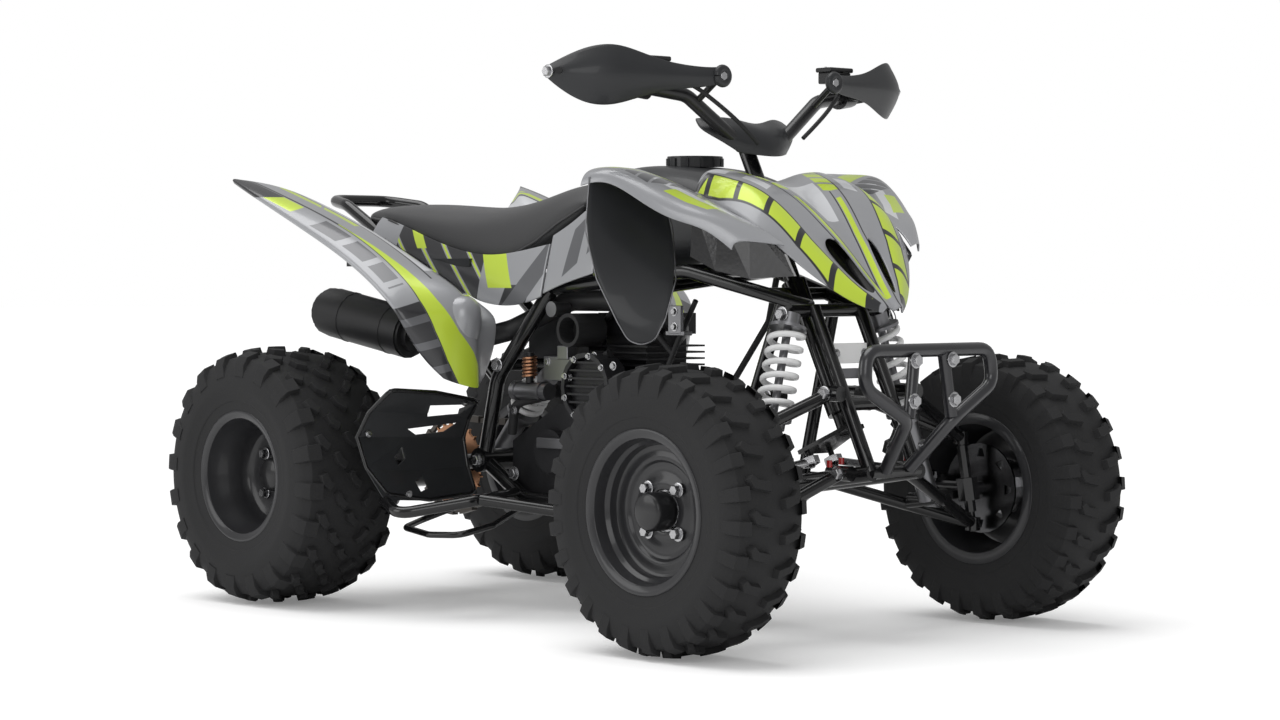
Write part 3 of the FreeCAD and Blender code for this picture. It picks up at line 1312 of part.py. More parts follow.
BAR_COVER_SHARES = (
    ((0.345, 0, 0.934), (0.366, 0.045, 0.940), (0.392, 0.095, 0.930)),
    ((0.394, 0, 0.918), (0.402, 0.050, 0.922), (0.404, 0.112, 0.906)),
    ((0.406, 0, 0.888), (0.414, 0.048, 0.888), (0.408, 0.090, 0.880)),
    ((0.404, 0, 0.866), (0.408, 0.030, 0.864), (0.404, 0.052, 0.864)),
)
COVER_STAY_SHARES = ((0.380, 0, 0.900), (0.402, 0, 0.905))
LAMP_SHARES = (
    ((0.598, 0.140, 0.645), (0.600, 0.167, 0.684)),
    ((0.525, 0.176, 0.640), (0.535, 0.187, 0.738)),
    ((0.462, 0.200, 0.655), (0.470, 0.198, 0.757)),
    ((0.415, 0.216, 0.680), (0.418, 0.210, 0.775)),
)
TAIL_LAMP_SHARES = ((-0.615, -0.10, 0.742), (-0.595, 0.10, 0.775))


def pair_of_panels(label, table, depth, *cutters, extra=()):
    """A panel and its mirror image, clear of the pieces they seat on."""
    left = panel(rows(table), depth)
    if extra:
        left = fused([left] + list(extra))
    piece(label, Part.makeCompound([main_solid(clear(side, *cutters)) for side in both(left)]))


def front_body():
    """The cowl with its two beaks, the fenders, the flaps behind them and the lamps."""
    wall = mm.panel_wall
    notch = rod(stem_low, stem_high, mm.stem_boss_radius + mm.turn_gap)
    piece("front_cowl", clear(panel(across_both(COWL_SHARES), Z * -wall).cut(notch), "frame"))
    pair_of_panels("front_fenders", FENDER_SHARES, FRONT_FENDER_WAY * wall, "front_cowl")
    pair_of_panels("mud_flaps", FLAP_SHARES, FLAP_WAY * wall, "front_fenders", "front_cowl")
    pair_of_panels("headlamps", LAMP_SHARES, LAMP_WAY * mm.lamp_depth, "front_cowl", "front_fenders",
                   "frame", "mud_flaps")
    tank = panel(across_both(TANK_SHARES), Z * (-TANK_DEPTH_SHARE * up)).cut(notch)
    piece("fuel_tank", clear(tank, "frame", "front_cowl"))


def fuel_cap():
    """A round cap with ridges for the hand."""
    part = doc.addObject("PartDesign::Body", "fuel_cap_body")
    seat(part, spot(*CAP_SHARES))
    stacked(part, "cap_drum", "AdditivePrism", 0, mm.filler_radius, mm.filler_height, DISC_COUNT)
    sketch = drawn_on(part, "ridge_outline", "XY_Plane")
    closed(sketch, [(mm.filler_radius * out, mm.filler_radius * aside) for out, aside in RIDGE_SHARES])
    ridge = pad(part, "ridge", sketch, mm.filler_height - mm.filler_ridge)
    ring_of(part, "ridges", ridge, sketch, RIDGE_COUNT)
    keep("fuel_cap", less("fuel_cap_seated", part, pieces["fuel_tank"]))


def seat_and_tail():
    foam = panel(across_both(SEAT_SHARES), Z * -mm.seat_foam)
    piece("seat", main_solid(clear(foam, "fuel_tank", "grab_bar", "frame")))
    keep("rear_tray", less("rear_tray_seated", block_between("rear_tray_block", *TRAY_SHARES),
                           pieces["frame"], pieces["seat"], pieces["grab_bar"]))
    wall = mm.panel_wall
    middle = at(*BLISTER_SHARES)
    radius = BLISTER_RADIUS_SHARE * up
    blister = tube([middle - X * wall * 2, middle + X * wall * 3, middle + X * wall * 5], radius, HUB_COUNT)
    pair_of_panels("rear_fenders", REAR_FENDER_SHARES, REAR_FENDER_WAY * wall, "grab_bar", "frame",
                   "seat", "muffler", "airbox", "exhaust_pipe", "rear_tray", extra=[blister])
    pair_of_panels("side_panels", SIDE_PANEL_SHARES, SIDE_WAY * wall, "rear_fenders", "frame",
                   "seat", "fuel_tank")
    keep("tail_lamp", less("tail_lamp_seated", block_between("tail_lamp_block", *TAIL_LAMP_SHARES),
                           pieces["frame"], pieces["seat"], pieces["grab_bar"], pieces["rear_tray"]))


def heel_guards():
    """Nets behind the foot pegs, with slots through them."""
    reach = X * (SLOT_REACH_SHARE * along)
    slots = []
    for corners in HEEL_SLOT_SHARES:
        outline = [at(-SLOT_REACH_SHARE, aside, height) for aside, height in corners]
        slots += both(plate(outline, reach))
    sides = []
    for side in both(panel(rows(HEEL_SHARES), HEEL_WAY * mm.panel_wall)):
        sides.append(main_solid(clear(side.cut(slots), "foot_pegs", "frame")))
    piece("heel_guards", Part.makeCompound(sides))


def bar_ends():
    """Handguards, the cover over the bar's clamp, levers and switches."""
    stays = [tube(points(shares), mm.lever_radius) for shares in (GUARD_STAY_SHARES, GUARD_END_SHARES)]
    pair_of_panels("handguards", HANDGUARD_SHARES, GUARD_WAY * mm.panel_wall, "handlebar", "grips",
                   extra=stays)
    cover = fused([panel(across_both(BAR_COVER_SHARES), X * -mm.panel_wall),
                   tube(points(COVER_STAY_SHARES), mm.lever_radius)])
    piece("bar_cover", main_solid(clear(cover, "handlebar", "steering_stem")))
    inner, outer = points(BAR_SHARES[-2:])
    reach = unit(outer - inner)
    start = outer - reach * (mm.grip_length + mm.seat_gap)
    pod = start - reach * mm.stem_boss_radius
    lever = [pod, pod + X * mm.lever_reach + reach * mm.stem_boss_radius,
             outer + X * (mm.lever_reach * 0.8) - reach * mm.stem_boss_radius]
    control = fused([tube([pod - reach * mm.stem_boss_radius, start], mm.stem_boss_radius, HUB_COUNT),
                     tube(lever, mm.lever_radius),
                     tube([pod, pod + Z * mm.lever_reach], mm.grip_radius, HUB_COUNT)])
    sides = [main_solid(clear(side, "handlebar", "grips", "handguards")) for side in both(control)]
    piece("bar_controls", Part.makeCompound(sides))


CABLE_SHARES = (
    ((0.330, 0.245, 1.020), (0.390, 0.205, 1.000), (0.420, 0.150, 0.965), (0.432, 0.100, 0.930),
     (0.425, 0.062, 0.897)),
    ((0.330, -0.245, 1.020), (0.385, -0.195, 0.995), (0.415, -0.140, 0.950), (0.428, -0.090, 0.910),
     (0.424, -0.054, 0.884)),
)


def control_cables():
    """Cables from the switches to the cover, bent with tangent arcs."""
    cords = []
    for shares in CABLE_SHARES:
        corners = points(shares)
        route, radii = [corners[0]], []
        for before, corner, after in zip(corners, corners[1:], corners[2:]):
            shorter = min((corner - before).Length, (after - corner).Length)
            turn = (corner - before).getAngle(after - corner)
            radii.append(0.45 * shorter / math.tan(turn / 2))
            route += bent([before, corner, after], radii[-1])[1:-1]
        print("cable bend radii", [round(radius) for radius in radii])
        cords.append(tube(route + [corners[-1]], mm.cable_radius, CABLE_COUNT))
    piece("control_cables", clear(Part.makeCompound(cords), "bar_controls", "bar_cover", "handguards",
                                  "handlebar"))


front_body()
fuel_cap()
seat_and_tail()
heel_guards()
bar_ends()
control_cables()


def write_parts():
    doc.recompute()
    for item in doc.Objects:
        if {"Invalid", "Error"} & set(item.State):
            raise ValueError(item.Label + " did not recompute")
    faulty = [node.Label for node in nodes if node.Shape.isNull() or not node.Shape.isValid()]
    if faulty:
        raise ValueError("no valid shape: " + ", ".join(faulty))
    os.makedirs("parts", exist_ok=True)
    for node in nodes:
        node.Shape.exportStep("parts/" + node.Label + ".step")


write_parts()
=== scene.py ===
from collections import namedtuple
import json
import math

import bmesh
import bpy
from bpy.props import FloatProperty, FloatVectorProperty, IntProperty, PointerProperty
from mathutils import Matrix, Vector


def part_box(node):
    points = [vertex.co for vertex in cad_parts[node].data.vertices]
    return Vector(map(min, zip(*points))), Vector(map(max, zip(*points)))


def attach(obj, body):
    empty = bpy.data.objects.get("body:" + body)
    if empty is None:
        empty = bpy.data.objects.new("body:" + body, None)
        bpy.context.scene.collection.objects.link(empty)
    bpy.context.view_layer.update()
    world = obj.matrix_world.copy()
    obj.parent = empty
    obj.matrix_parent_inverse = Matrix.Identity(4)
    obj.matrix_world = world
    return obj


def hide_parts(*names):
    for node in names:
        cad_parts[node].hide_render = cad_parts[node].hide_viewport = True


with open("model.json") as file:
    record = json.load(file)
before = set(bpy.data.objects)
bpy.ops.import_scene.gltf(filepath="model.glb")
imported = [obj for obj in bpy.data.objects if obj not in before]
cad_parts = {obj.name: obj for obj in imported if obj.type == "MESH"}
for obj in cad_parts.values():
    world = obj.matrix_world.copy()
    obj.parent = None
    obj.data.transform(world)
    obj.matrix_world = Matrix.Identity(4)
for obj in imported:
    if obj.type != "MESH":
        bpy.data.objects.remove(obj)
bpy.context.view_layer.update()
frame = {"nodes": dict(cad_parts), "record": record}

bl_info = {
    "name": "Quad bike",
    "version": (1, 0, 0),
    "blender": (4, 5, 0),
    "location": "View3D > Sidebar > Quad",
    "description": "Dresses the quad bike's frame with its finished pieces, materials and stage",
    "category": "Object",
}

MM = 0.001
EDGE = 0.7  # half the width of a painted edge, in millimetres


# What a user would change

def color_prop(name, description, color):
    return FloatVectorProperty(name=name, description=description, default=color, subtype="COLOR",
                               min=0.0, max=1.0)


def length_prop(name, description, length):
    return FloatProperty(name=name, description=description, default=length, min=0.0001, unit="LENGTH")


class QuadPaintProps(bpy.types.PropertyGroup):
    silver: color_prop("Silver", "Lighter colour of the bodywork", (0.35, 0.355, 0.37))
    shade: color_prop("Shade", "Darker colour that clouds the bodywork's silver", (0.28, 0.285, 0.30))
    lime: color_prop("Lime", "Bright shapes on the bodywork", (0.56, 0.72, 0.05))
    dark: color_prop("Dark", "Dark shapes on the bodywork", (0.022, 0.022, 0.025))
    middle: color_prop("Middle", "Grey blocks on the bodywork", (0.105, 0.107, 0.115))
    pale: color_prop("Pale", "Pale shapes on the bodywork", (0.66, 0.67, 0.69))


class QuadSizeProps(bpy.types.PropertyGroup):
    panel_wall: length_prop("Panel wall", "Thickness of the bodywork's mouldings", 0.0035)
    guard_wall: length_prop("Guard wall", "Thickness of the handguards and the bar cover", 0.005)
    cable_radius: length_prop("Cable radius", "Half the width of the control cables", 0.004)
    spring_wire: length_prop("Spring wire", "Half the thickness of the springs' wire", 0.0055)
    spring_turns: IntProperty(name="Spring turns", description="Turns of each coil spring", default=6, min=1)
    piping_radius: length_prop("Piping radius", "Half the width of the piping round the seat", 0.0022)


class QuadStageProps(bpy.types.PropertyGroup):
    lens: FloatProperty(name="Lens", description="Focal length of the camera", default=86.6,
                        min=10.0, unit="CAMERA")
    sun_strength: FloatProperty(name="Sun", description="Strength of the broad light overhead",
                                default=1.7, min=0.0)
    sun_spread: FloatProperty(name="Sun spread", description="Angle that the broad light fills",
                              default=0.9, min=0.0, unit="ROTATION")
    fill_power: FloatProperty(name="Fill light", description="Power of the light beside the camera",
                              default=40.0, min=0.0, unit="POWER")
    floor_size: length_prop("Floor size", "Side of the square floor", 90.0)


# Shader wiring

class Wire:
    """A value in a material, with the usual operators."""

    def __init__(self, maker, socket):
        self.maker = maker
        self.socket = socket

    def __add__(self, other):
        return self.maker.math("ADD", self, other)

    def __sub__(self, other):
        return self.maker.math("SUBTRACT", self, other)

    def __rsub__(self, other):
        return self.maker.math("SUBTRACT", other, self)

    def __mul__(self, other):
        return self.maker.math("MULTIPLY", self, other)

    __radd__, __rmul__ = __add__, __mul__

    def __abs__(self):
        return self.maker.math("ABSOLUTE", self)

    def mapped(self, low, high, height=1.0, **settings):
        """0 up to low, rising to the height at high."""
        values = {"Value": self, "From Min": low, "From Max": high, "To Max": height}
        return self.maker.add("ShaderNodeMapRange", 0, settings, values)

    def above(self, edge, softness=EDGE):
        """0 below the edge and 1 above it."""
        return self.mapped(edge - softness, edge + softness, interpolation_type="SMOOTHSTEP")

    def below(self, edge):
        return 1.0 - self.above(edge)

    def between(self, low, high):
        return self.above(low) * self.below(high)

    def bars(self, pitch, share):
        """Stripes: 1 over a share of each pitch."""
        return self.maker.math("FRACT", self * (1.0 / pitch)).above(1.0 - share, 0.01)

    def clamped(self):
        return self.maker.add("ShaderNodeClamp", 0, None, {"Value": self})

    def along(self, *points):
        """The height of a line through points of (value, height)."""
        line = points[0][1]
        for (low, near), (high, far) in zip(points, points[1:]):
            line = line + self.mapped(low, high, far - near)
        return line


class Maker:
    """The nodes of one material or world."""

    def __init__(self, owner, shader="Principled BSDF", **constants):
        owner.use_nodes = True
        self.owner = owner
        self.nodes = owner.node_tree.nodes
        self.shader = self.nodes[shader]
        self.surface(**constants)

    def feed(self, socket, value):
        if isinstance(value, Wire):
            self.owner.node_tree.links.new(value.socket, socket)
        elif socket.type == "RGBA":
            socket.default_value = (*value[:3], 1.0)
        else:
            socket.default_value = value

    def add(self, kind, output=0, settings=None, values=None):
        node = self.nodes.new(kind)
        for name, value in (settings or {}).items():
            setattr(node, name, value)
        for name, value in (values or {}).items():
            self.feed(node.inputs[name], value)
        return Wire(self, node.outputs[output])

    def math(self, operation, *values):
        return self.add("ShaderNodeMath", 0, {"operation": operation}, dict(enumerate(values)))

    def spot(self):
        """The place on the piece, in metres in the quad's own frame."""
        return self.add("ShaderNodeTexCoord", "Object")

    def axes(self):
        """The place on the piece as x, y and z in millimetres."""
        return [self.add("ShaderNodeSeparateXYZ", axis, None, {0: self.spot()}) * (1 / MM) for axis in "XYZ"]

    def noise(self, scale, detail=2.0):
        values = {"Scale": scale, "Detail": detail, "Vector": self.spot()}
        return self.add("ShaderNodeTexNoise", "Fac", None, values)

    def cells(self, scale):
        values = {"Scale": scale, "Vector": self.spot()}
        return self.add("ShaderNodeTexVoronoi", "Distance", None, values)

    def mix(self, factor, first, second):
        values = {0: factor, 6: first, 7: second}
        return self.add("ShaderNodeMix", 2, {"data_type": "RGBA"}, values)

    def surface(self, **fed):
        for socket, value in fed.items():
            self.feed(self.shader.inputs[socket.replace("_", " ")], value)

    def bump(self, height, distance, strength):
        values = {"Height": height, "Distance": distance, "Strength": strength}
        self.surface(Normal=self.add("ShaderNodeBump", 0, None, values))


# Finishes: each makes the material of a slot

def finish(slot, **constants):
    return Maker(bpy.data.materials.new(slot), **constants)


def plain(slot, color, roughness, grain, depth, metallic=0.0, coat=0.0, spread=0.25):
    """A finish with slight colour and gloss variation and a fine grain."""
    maker = finish(slot, Metallic=metallic, Coat_Weight=coat, Coat_Roughness=0.08,
                   Specular_IOR_Level=0.5 if metallic else 0.3)
    cloud, fine = maker.noise(9.0, 3.0), maker.noise(grain)
    dark, light = ([min(channel * share, 1.0) for channel in color] for share in (1.0 - spread, 1.0 + spread))
    maker.surface(Base_Color=maker.mix(cloud, dark, light),
                  Roughness=roughness - 0.06 + 0.12 * cloud + 0.04 * fine)
    maker.bump(fine, depth, 0.4)
    return maker


def rear_livery(x, breadth, z):
    """Shapes of the rear fenders, on both sides of the ridge that runs down each blade."""
    here = x.below(-100) * breadth.above(236.5)
    # The distance outwards from the ridge, and how far the wide stripe reaches inwards from it
    ridge = breadth - z.along((437, 285), (487, 309), (540, 327), (600, 341), (660, 346), (840, 362))
    wide = z.along((440, 72), (500, 60), (540, 43), (600, 30), (660, 19), (730, 2))
    slant = z + 0.30 * breadth
    outer = ridge.above(2) * here
    stripe = (ridge + wide).above(0) * ridge.below(0) * z.below(745) * here
    low = outer * slant.below(700) * ridge.between(2, 52)
    blocks = outer * slant.between(735, 868) * ridge.between(9, 40) * slant.bars(41, 0.78)
    patch = outer * slant.between(888, 935) * ridge.between(4, 34)
    tail = outer * z.above(800.5) * ridge.between(3, 40)
    top = ridge.between(-44, -30) * z.between(742, 832) * slant.bars(46, 0.93) * here
    pale = ridge.between(-82, -52) * z.between(655, 815) * here
    line = (ridge.between(-3, 2) + ridge.between(-50.5, -47) * z.above(640)) * here
    return [(pale, "pale"), (low, "dark"), (low * slant.bars(52, 0.30), "middle"), (blocks, "middle"),
            (patch, "lime"), (tail, "dark"), (top, "lime"), (line.clamped(), "dark"), (stripe, "lime")]


def side_livery(x, breadth, z):
    """Shapes of the panels under the seat."""
    here = breadth.between(100, 172) * x.between(-600, 110)
    hip, front = here * x.below(-48), here * x.above(-48)
    tail = hip * x.between(-500, -235)
    lean, slope = x + 1.05 * z, x - 0.25 * z
    dark = tail * lean.bars(62, 0.78) + hip * (x - 0.35 * z).between(-375, -300) * z.below(628)
    shade = hip * (x - 0.9 * z).between(-690, -632)
    lime = tail * lean.bars(62, 0.94) * (1.0 - lean.bars(62, 0.84))
    lime = lime + hip * (x + 0.55 * z).between(135, 205) * z.above(622)
    lime = lime + hip * (x + 0.9 * z).between(195, 222) * z.above(700)
    parts = front * slope.between(-170, 200) * (slope + 4).bars(58, 0.62) * (z - 0.62 * x).between(640, 716)
    return [(dark.clamped(), "dark"), (shade, "middle"), (lime.clamped(), "lime"), (parts, "middle")]


def front_livery(x, breadth):
    """Shapes of the cowl's rails and middle strip and of the front fenders."""
    cowl, fender = x.above(300) * breadth.below(196), x.above(300) * breadth.above(212)
    slant = x - 0.5 * breadth
    # Distances outwards from the middles of the rail and the strip, and from the fender's rim
    rail = breadth - x.along((400, 182), (460, 171), (530, 147), (600, 116), (660, 78), (700, 46))
    gap = cowl * rail.between(-20.5, 20.5) * x.between(405, 700)
    band = cowl * rail.between(-17, 17) * x.between(415, 690) * slant.bars(66, 0.84)
    strip = breadth - x.along((400, 110), (470, 82), (530, 61), (590, 40), (667, 19), (700, 12))
    edge = cowl * strip.between(-15, -3) * x.between(520, 690)
    blocks = cowl * strip.between(-30, 4) * x.between(395, 500) * (slant + 10).bars(37, 0.76)
    seam = cowl * (strip.between(4, 7.5) + strip.between(-20, -17) * x.above(500))
    pale = cowl * strip.between(-100, -36) * x.between(460, 560)
    pale = pale + cowl * strip.between(22, 50) * x.between(400, 520) * slant.bars(90, 0.6)
    rim = breadth - x.along((280, 362), (350, 350), (425, 328), (470, 302), (515, 266), (560, 232))
    inside, sweep = fender * rim.below(-18), slant + 0.9 * rim
    lime = inside * (sweep.between(115, 160) + rim.between(-52, -22) * x.between(435, 500))
    dark = inside * sweep.between(175, 235) * slant.bars(28, 0.82)
    white = inside * rim.between(-72, -46) * x.between(390, 530)
    return [(gap, "dark"), (pale.clamped(), "pale"), (white, "pale"), (band, "lime"),
            (seam.clamped(), "dark"), (edge, "lime"), (blocks, "lime"), (dark, "middle"),
            (lime.clamped(), "lime")]


def silver_plastic(slot):
    """Metallic silver with lime, dark and pale angular shapes, the same on both sides."""
    maker = finish(slot, Coat_Weight=0.5, Coat_Roughness=0.1)
    paint = bpy.context.scene.quad_paint
    x, y, z = maker.axes()
    breadth = abs(y)
    color = maker.mix(maker.noise(5.0), paint.shade, paint.silver)
    for mask, name in rear_livery(x, breadth, z) + side_livery(x, breadth, z) + front_livery(x, breadth):
        color = maker.mix(mask, color, getattr(paint, name))
    fine, smear = maker.noise(1500.0), maker.noise(14.0, 4.0)
    maker.surface(Base_Color=color, Metallic=0.12 + 0.1 * smear, Roughness=0.24 + 0.12 * smear + 0.05 * fine)
    maker.bump(fine, 0.00015, 0.3)
    return maker


def tyre_rubber(slot):
    """Charcoal rubber with a dusty sheen and a moulded grain."""
    maker = finish(slot, Specular_IOR_Level=0.35)
    dust, grain, pits = maker.noise(7.0, 4.0), maker.noise(420.0, 3.0), maker.cells(260.0)
    maker.surface(Base_Color=maker.mix(dust, (0.008, 0.008, 0.0085), (0.021, 0.021, 0.022)),
                  Roughness=0.62 + 0.18 * dust + 0.06 * grain)
    maker.bump(grain * 0.6 + pits * 0.4, 0.0007, 0.5)
    return maker


def lamp_glass(slot):
    """Smoked lens over a faceted reflector."""
    maker = finish(slot, Coat_Weight=1.0, Coat_Roughness=0.03)
    facets = maker.cells(110.0)
    edge = facets.above(0.35, 0.2)
    maker.surface(Base_Color=maker.mix(edge, (0.020, 0.020, 0.022), (0.005, 0.005, 0.006)),
                  Metallic=0.3 - 0.2 * edge, Roughness=0.12 + 0.15 * edge)
    maker.bump(facets, 0.0012, 0.25)
    return maker


def seat_cover(slot):
    """Smooth dark cover with a fine leather grain."""
    maker = finish(slot, Sheen_Weight=0.15)
    cloud = maker.noise(8.0, 3.0)
    maker.surface(Base_Color=maker.mix(cloud, (0.013, 0.013, 0.0145), (0.027, 0.027, 0.029)),
                  Roughness=0.46 + 0.12 * cloud)
    maker.bump(maker.cells(620.0), 0.0005, 0.45)
    return maker


def bare_steel(slot):
    """Turned steel, with painted shade that darkens the front discs where they stand inside the wheels."""
    # The steel's own colour, and a dark colour painted as shade inside the front wheels
    bright, shaded_steel = (0.44, 0.44, 0.45), (0.03, 0.03, 0.032)
    maker = plain(slot, bright, 0.24, 700.0, 0.0001, 1.0)
    x, y = maker.axes()[:2]
    # Painted shade: the steel within the front wheels is mixed most of the way towards the dark colour
    disc_shade = x.above(450) * abs(y).between(285, 400)
    maker.surface(Base_Color=maker.mix(disc_shade * 0.85, bright, shaded_steel))
    return maker


# Slots with a plain finish: colour, roughness, grain, its depth in metres, metallic, coat, and how far the
# colour spreads
PLAIN = {
    "rim": ((0.024, 0.024, 0.026), 0.30, 700, 0.0001, 0, 0.3),
    "frame_black": ((0.006, 0.006, 0.0065), 0.18, 600, 0.0001, 0, 0.45),
    "bumper_black": ((0.020, 0.020, 0.023), 0.28, 600, 0.0001, 0.2, 0.5),
    "dark_plastic": ((0.022, 0.023, 0.025), 0.38, 1400, 0.0002, 0, 0.15),
    "engine_black": ((0.018, 0.018, 0.020), 0.40, 300, 0.0006, 0.3),
    "sprocket_steel": ((0.5, 0.26, 0.15), 0.35, 500, 0.0002, 1),
    "chain_steel": ((0.12, 0.11, 0.1), 0.45, 500, 0.0003, 0.9),
    "exhaust": ((0.018, 0.018, 0.019), 0.42, 500, 0.0003),
    "damper_steel": ((0.22, 0.22, 0.23), 0.32, 500, 0.0001, 0.9),
    "spring_paint": ((0.88, 0.88, 0.88), 0.32, 500, 0.0001, 0, 0.3, 0.05),
    "bar_black": ((0.013, 0.013, 0.014), 0.32, 500, 0.0001, 0, 0.3),
    "soft_rubber": ((0.018, 0.018, 0.019), 0.62, 500, 0.0003),
    "red_lens": ((0.32, 0.01, 0.01), 0.12, 300, 0.0001, 0, 1),
}
SPECIAL = {"tyre": tyre_rubber, "silver_plastic": silver_plastic, "seat_cover": seat_cover,
           "bare_steel": bare_steel, "lamp_lens": lamp_glass}
FINISHES = {}


def finish_of(slot):
    """The slot's material, made when it is first asked for."""
    if slot not in FINISHES:
        maker = SPECIAL[slot](slot) if slot in SPECIAL else plain(slot, *PLAIN[slot])
        FINISHES[slot] = maker.owner
    return FINISHES[slot]


# Places in millimetres in the quad's own frame, on the left side where a piece has two

SIDE_NAMES = ((-1, "right"), (1, "left"))
FRONT_WHEEL, REAR_WHEEL = (591.5, 422.5, 250), (-588.5, 370, 253)
STEM = (595, 0, 365), (340, 0, 878)
CLAMP = Vector((371, 0, 892))
BALL_LOW, BALL_HIGH = (598, 338, 185), (582, 322, 345)
LOWER_INNER = ((655, 81, 300), (455, 81, 272))
UPPER_INNER = ((648, 100, 440), (505, 100, 432))
SHOCK = ((590, 225, 236), (562, 112, 578))
REAR_SHOCK = ((-360, 0, 288), (-200, 0, 472))

LOWER_RAIL = ((712, 62, 302), (440, 75, 262), (340, 115, 215), (-140, 120, 215), (-262, 120, 285))
UPPER_RAIL = ((562, 60, 590), (300, 115, 655), (0, 130, 625), (-220, 120, 600), (-600, 100, 715))
TOWER = ((568, 60, 590), (706, 60, 302))
REAR_POST = ((-50, 132, 620), (-215, 125, 450), (-262, 120, 285))
BRACE = ((-220, 120, 440), (-520, 104, 680))
DOWN_TUBE = ((500, 68, 600), (380, 100, 230))
CROSS_ENDS = ((706, 62, 302), (564, 118, 584), (340, 115, 215), (-140, 120, 215), (-580, 102, 708),
              (300, 115, 655), (649, 61, 420), (468, 80, 613), (-200, 125, 472))
BUMPER = ((715, 30, 306), (792, 59, 396), (790, 166, 455), (788, 160, 517))
UPRIGHT = ((788, 37, 517), (792, 55, 400))
GRAB = ((-590, 100, 718), (-725, 100, 791), (-812, 72, 803))
PEG = ((-160, 125, 225), (-64, 300, 226), (-159, 420, 200), (-235, 392, 220))
PEG_FRONT = ((100, 122, 215), (49, 200, 205), (-64, 300, 226))
PEG_HOOP = ((-120, 122, 212), (-98, 240, 172), (-104, 316, 158), (-170, 336, 156), (-290, 298, 160),
            (-318, 232, 170), (-262, 122, 214))
GUARD_RIM = ((-277, 424, 340), (-254, 415, 386), (-214, 393, 430), (-206, 290, 423), (-202, 187, 404),
             (-242, 178, 369), (-266, 172, 330), (-254, 172, 276), (-228, 172, 224), (-225, 290, 217),
             (-231, 388, 232), (-260, 415, 281), (-277, 424, 340))
SWING = ((-262, 83, 285), (-588.5, 104, 253))
EXHAUST = ((150, -10, 525), (200, -30, 550), (165, -90, 598), (-45, -88, 598), (-190, -112, 540),
           (-280, -172, 512), (-386, -200, 530))
MUFFLER = (-385, -200, 530), (-625, -225, 575)
BAR = ((371, 60, 892), (357, 170, 970), (300, 410, 1004))
CABLES = (
    ((330, 245, 1020), (390, 205, 1000), (420, 150, 965), (432, 100, 930), (425, 62, 897)),
    ((330, -245, 1020), (385, -195, 995), (415, -140, 950), (428, -90, 910), (424, -54, 884)),
)
HOSES = (
    (((22, -60, 560), (80, -85, 585), (160, -80, 560), (220, -70, 500)), 6, 30),
    (((-60, -70, 520), (-40, -120, 480), (20, -130, 460), (100, -120, 500)), 8, 30),
    (((140, -70, 400), (200, -90, 430), (240, -80, 520), (300, -90, 600)), 5, 30),
    (((-120, -100, 410), (-160, -130, 400), (-180, -120, 340)), 9, 30),
    (((160, 50, 420), (240, 70, 450), (320, 80, 560), (340, 80, 640)), 6, 30),
)
CHROME_SIDES = ((662, 96, 300), (458, 96, 272), (648, 115, 440), (505, 115, 432), (562, 132, 578),
                (-262, 138, 285), (-154, 136, 264), (590, 240, 236), (-200, 139, 472))
CHROME_FRONTS = ((800, 48, 500), (800, 52, 430), (738, 40, 345))
SCREWS = ((138, -146, 478), (16, -146, 454), (-52, -141, 482), (2, -141, 457), (-152, -138, 385),
          (85, -146, 495), (270, -116, 580), (270, -116, 552))

# Profiles of turned pieces: (distance outwards from the middle, radius)
FRONT_RIM = (
    (-76, 120), (-76, 141), (-70, 141), (-68, 128), (-40, 126), (-30, 118), (30, 118), (42, 126), (68, 128),
    (70, 141), (76, 141), (77, 137), (72, 124), (50, 121), (44, 114), (30, 112), (28, 100), (31, 94), (30, 86),
    (24, 82), (22, 60), (26, 54), (26, 36), (18, 36), (18, 80), (24, 98), (22, 110), (-30, 113), (-74, 120),
    (-76, 120))
REAR_RIM = (
    (-104, 110), (-104, 129), (-98, 129), (-96, 116), (-60, 114), (-50, 106), (50, 106), (62, 114), (96, 116),
    (98, 129), (104, 129), (105, 125), (100, 113), (70, 110), (60, 101), (30, 98), (14, 90), (8, 76), (8, 46),
    (12, 42), (12, 36), (4, 36), (4, 78), (0, 100), (-50, 103), (-100, 110), (-104, 110))
FRONT_CAP = ((24, 0), (24, 33), (60, 33), (66, 30), (68, 24), (68, 0))
REAR_CAP = ((10, 0), (10, 34), (30, 32), (34, 26), (36, 0))

# Wheel nuts: radius of their ring, distance outwards, size
FRONT_NUTS = (52, 26, 9.5)
REAR_NUTS = (55, 9, 9)

# Profile of the rounded front end of each rear fender: (height, radius)
BLISTER = ((56, 0), (54, 18), (44, 32), (25, 39), (3, 39), (-20, 34), (-40, 25), (-54, 12), (-58, 0))
BLISTER_PLACE = (-168, 256, 552)

# Radii of the tubes, of the tie rods and of the eyes on the handguards' stays
RAIL, TUBE, STRUT, ARM, HUB = 14.8, 12.8, 11.8, 11.4, 41.8
ROD, ROD_SLEEVE = 6.8, 8.8
EYE_MIDDLE, EYE_RIM = 13.5, 7.2

TANK_WALL = 6
SEAT_DEPTH = 24

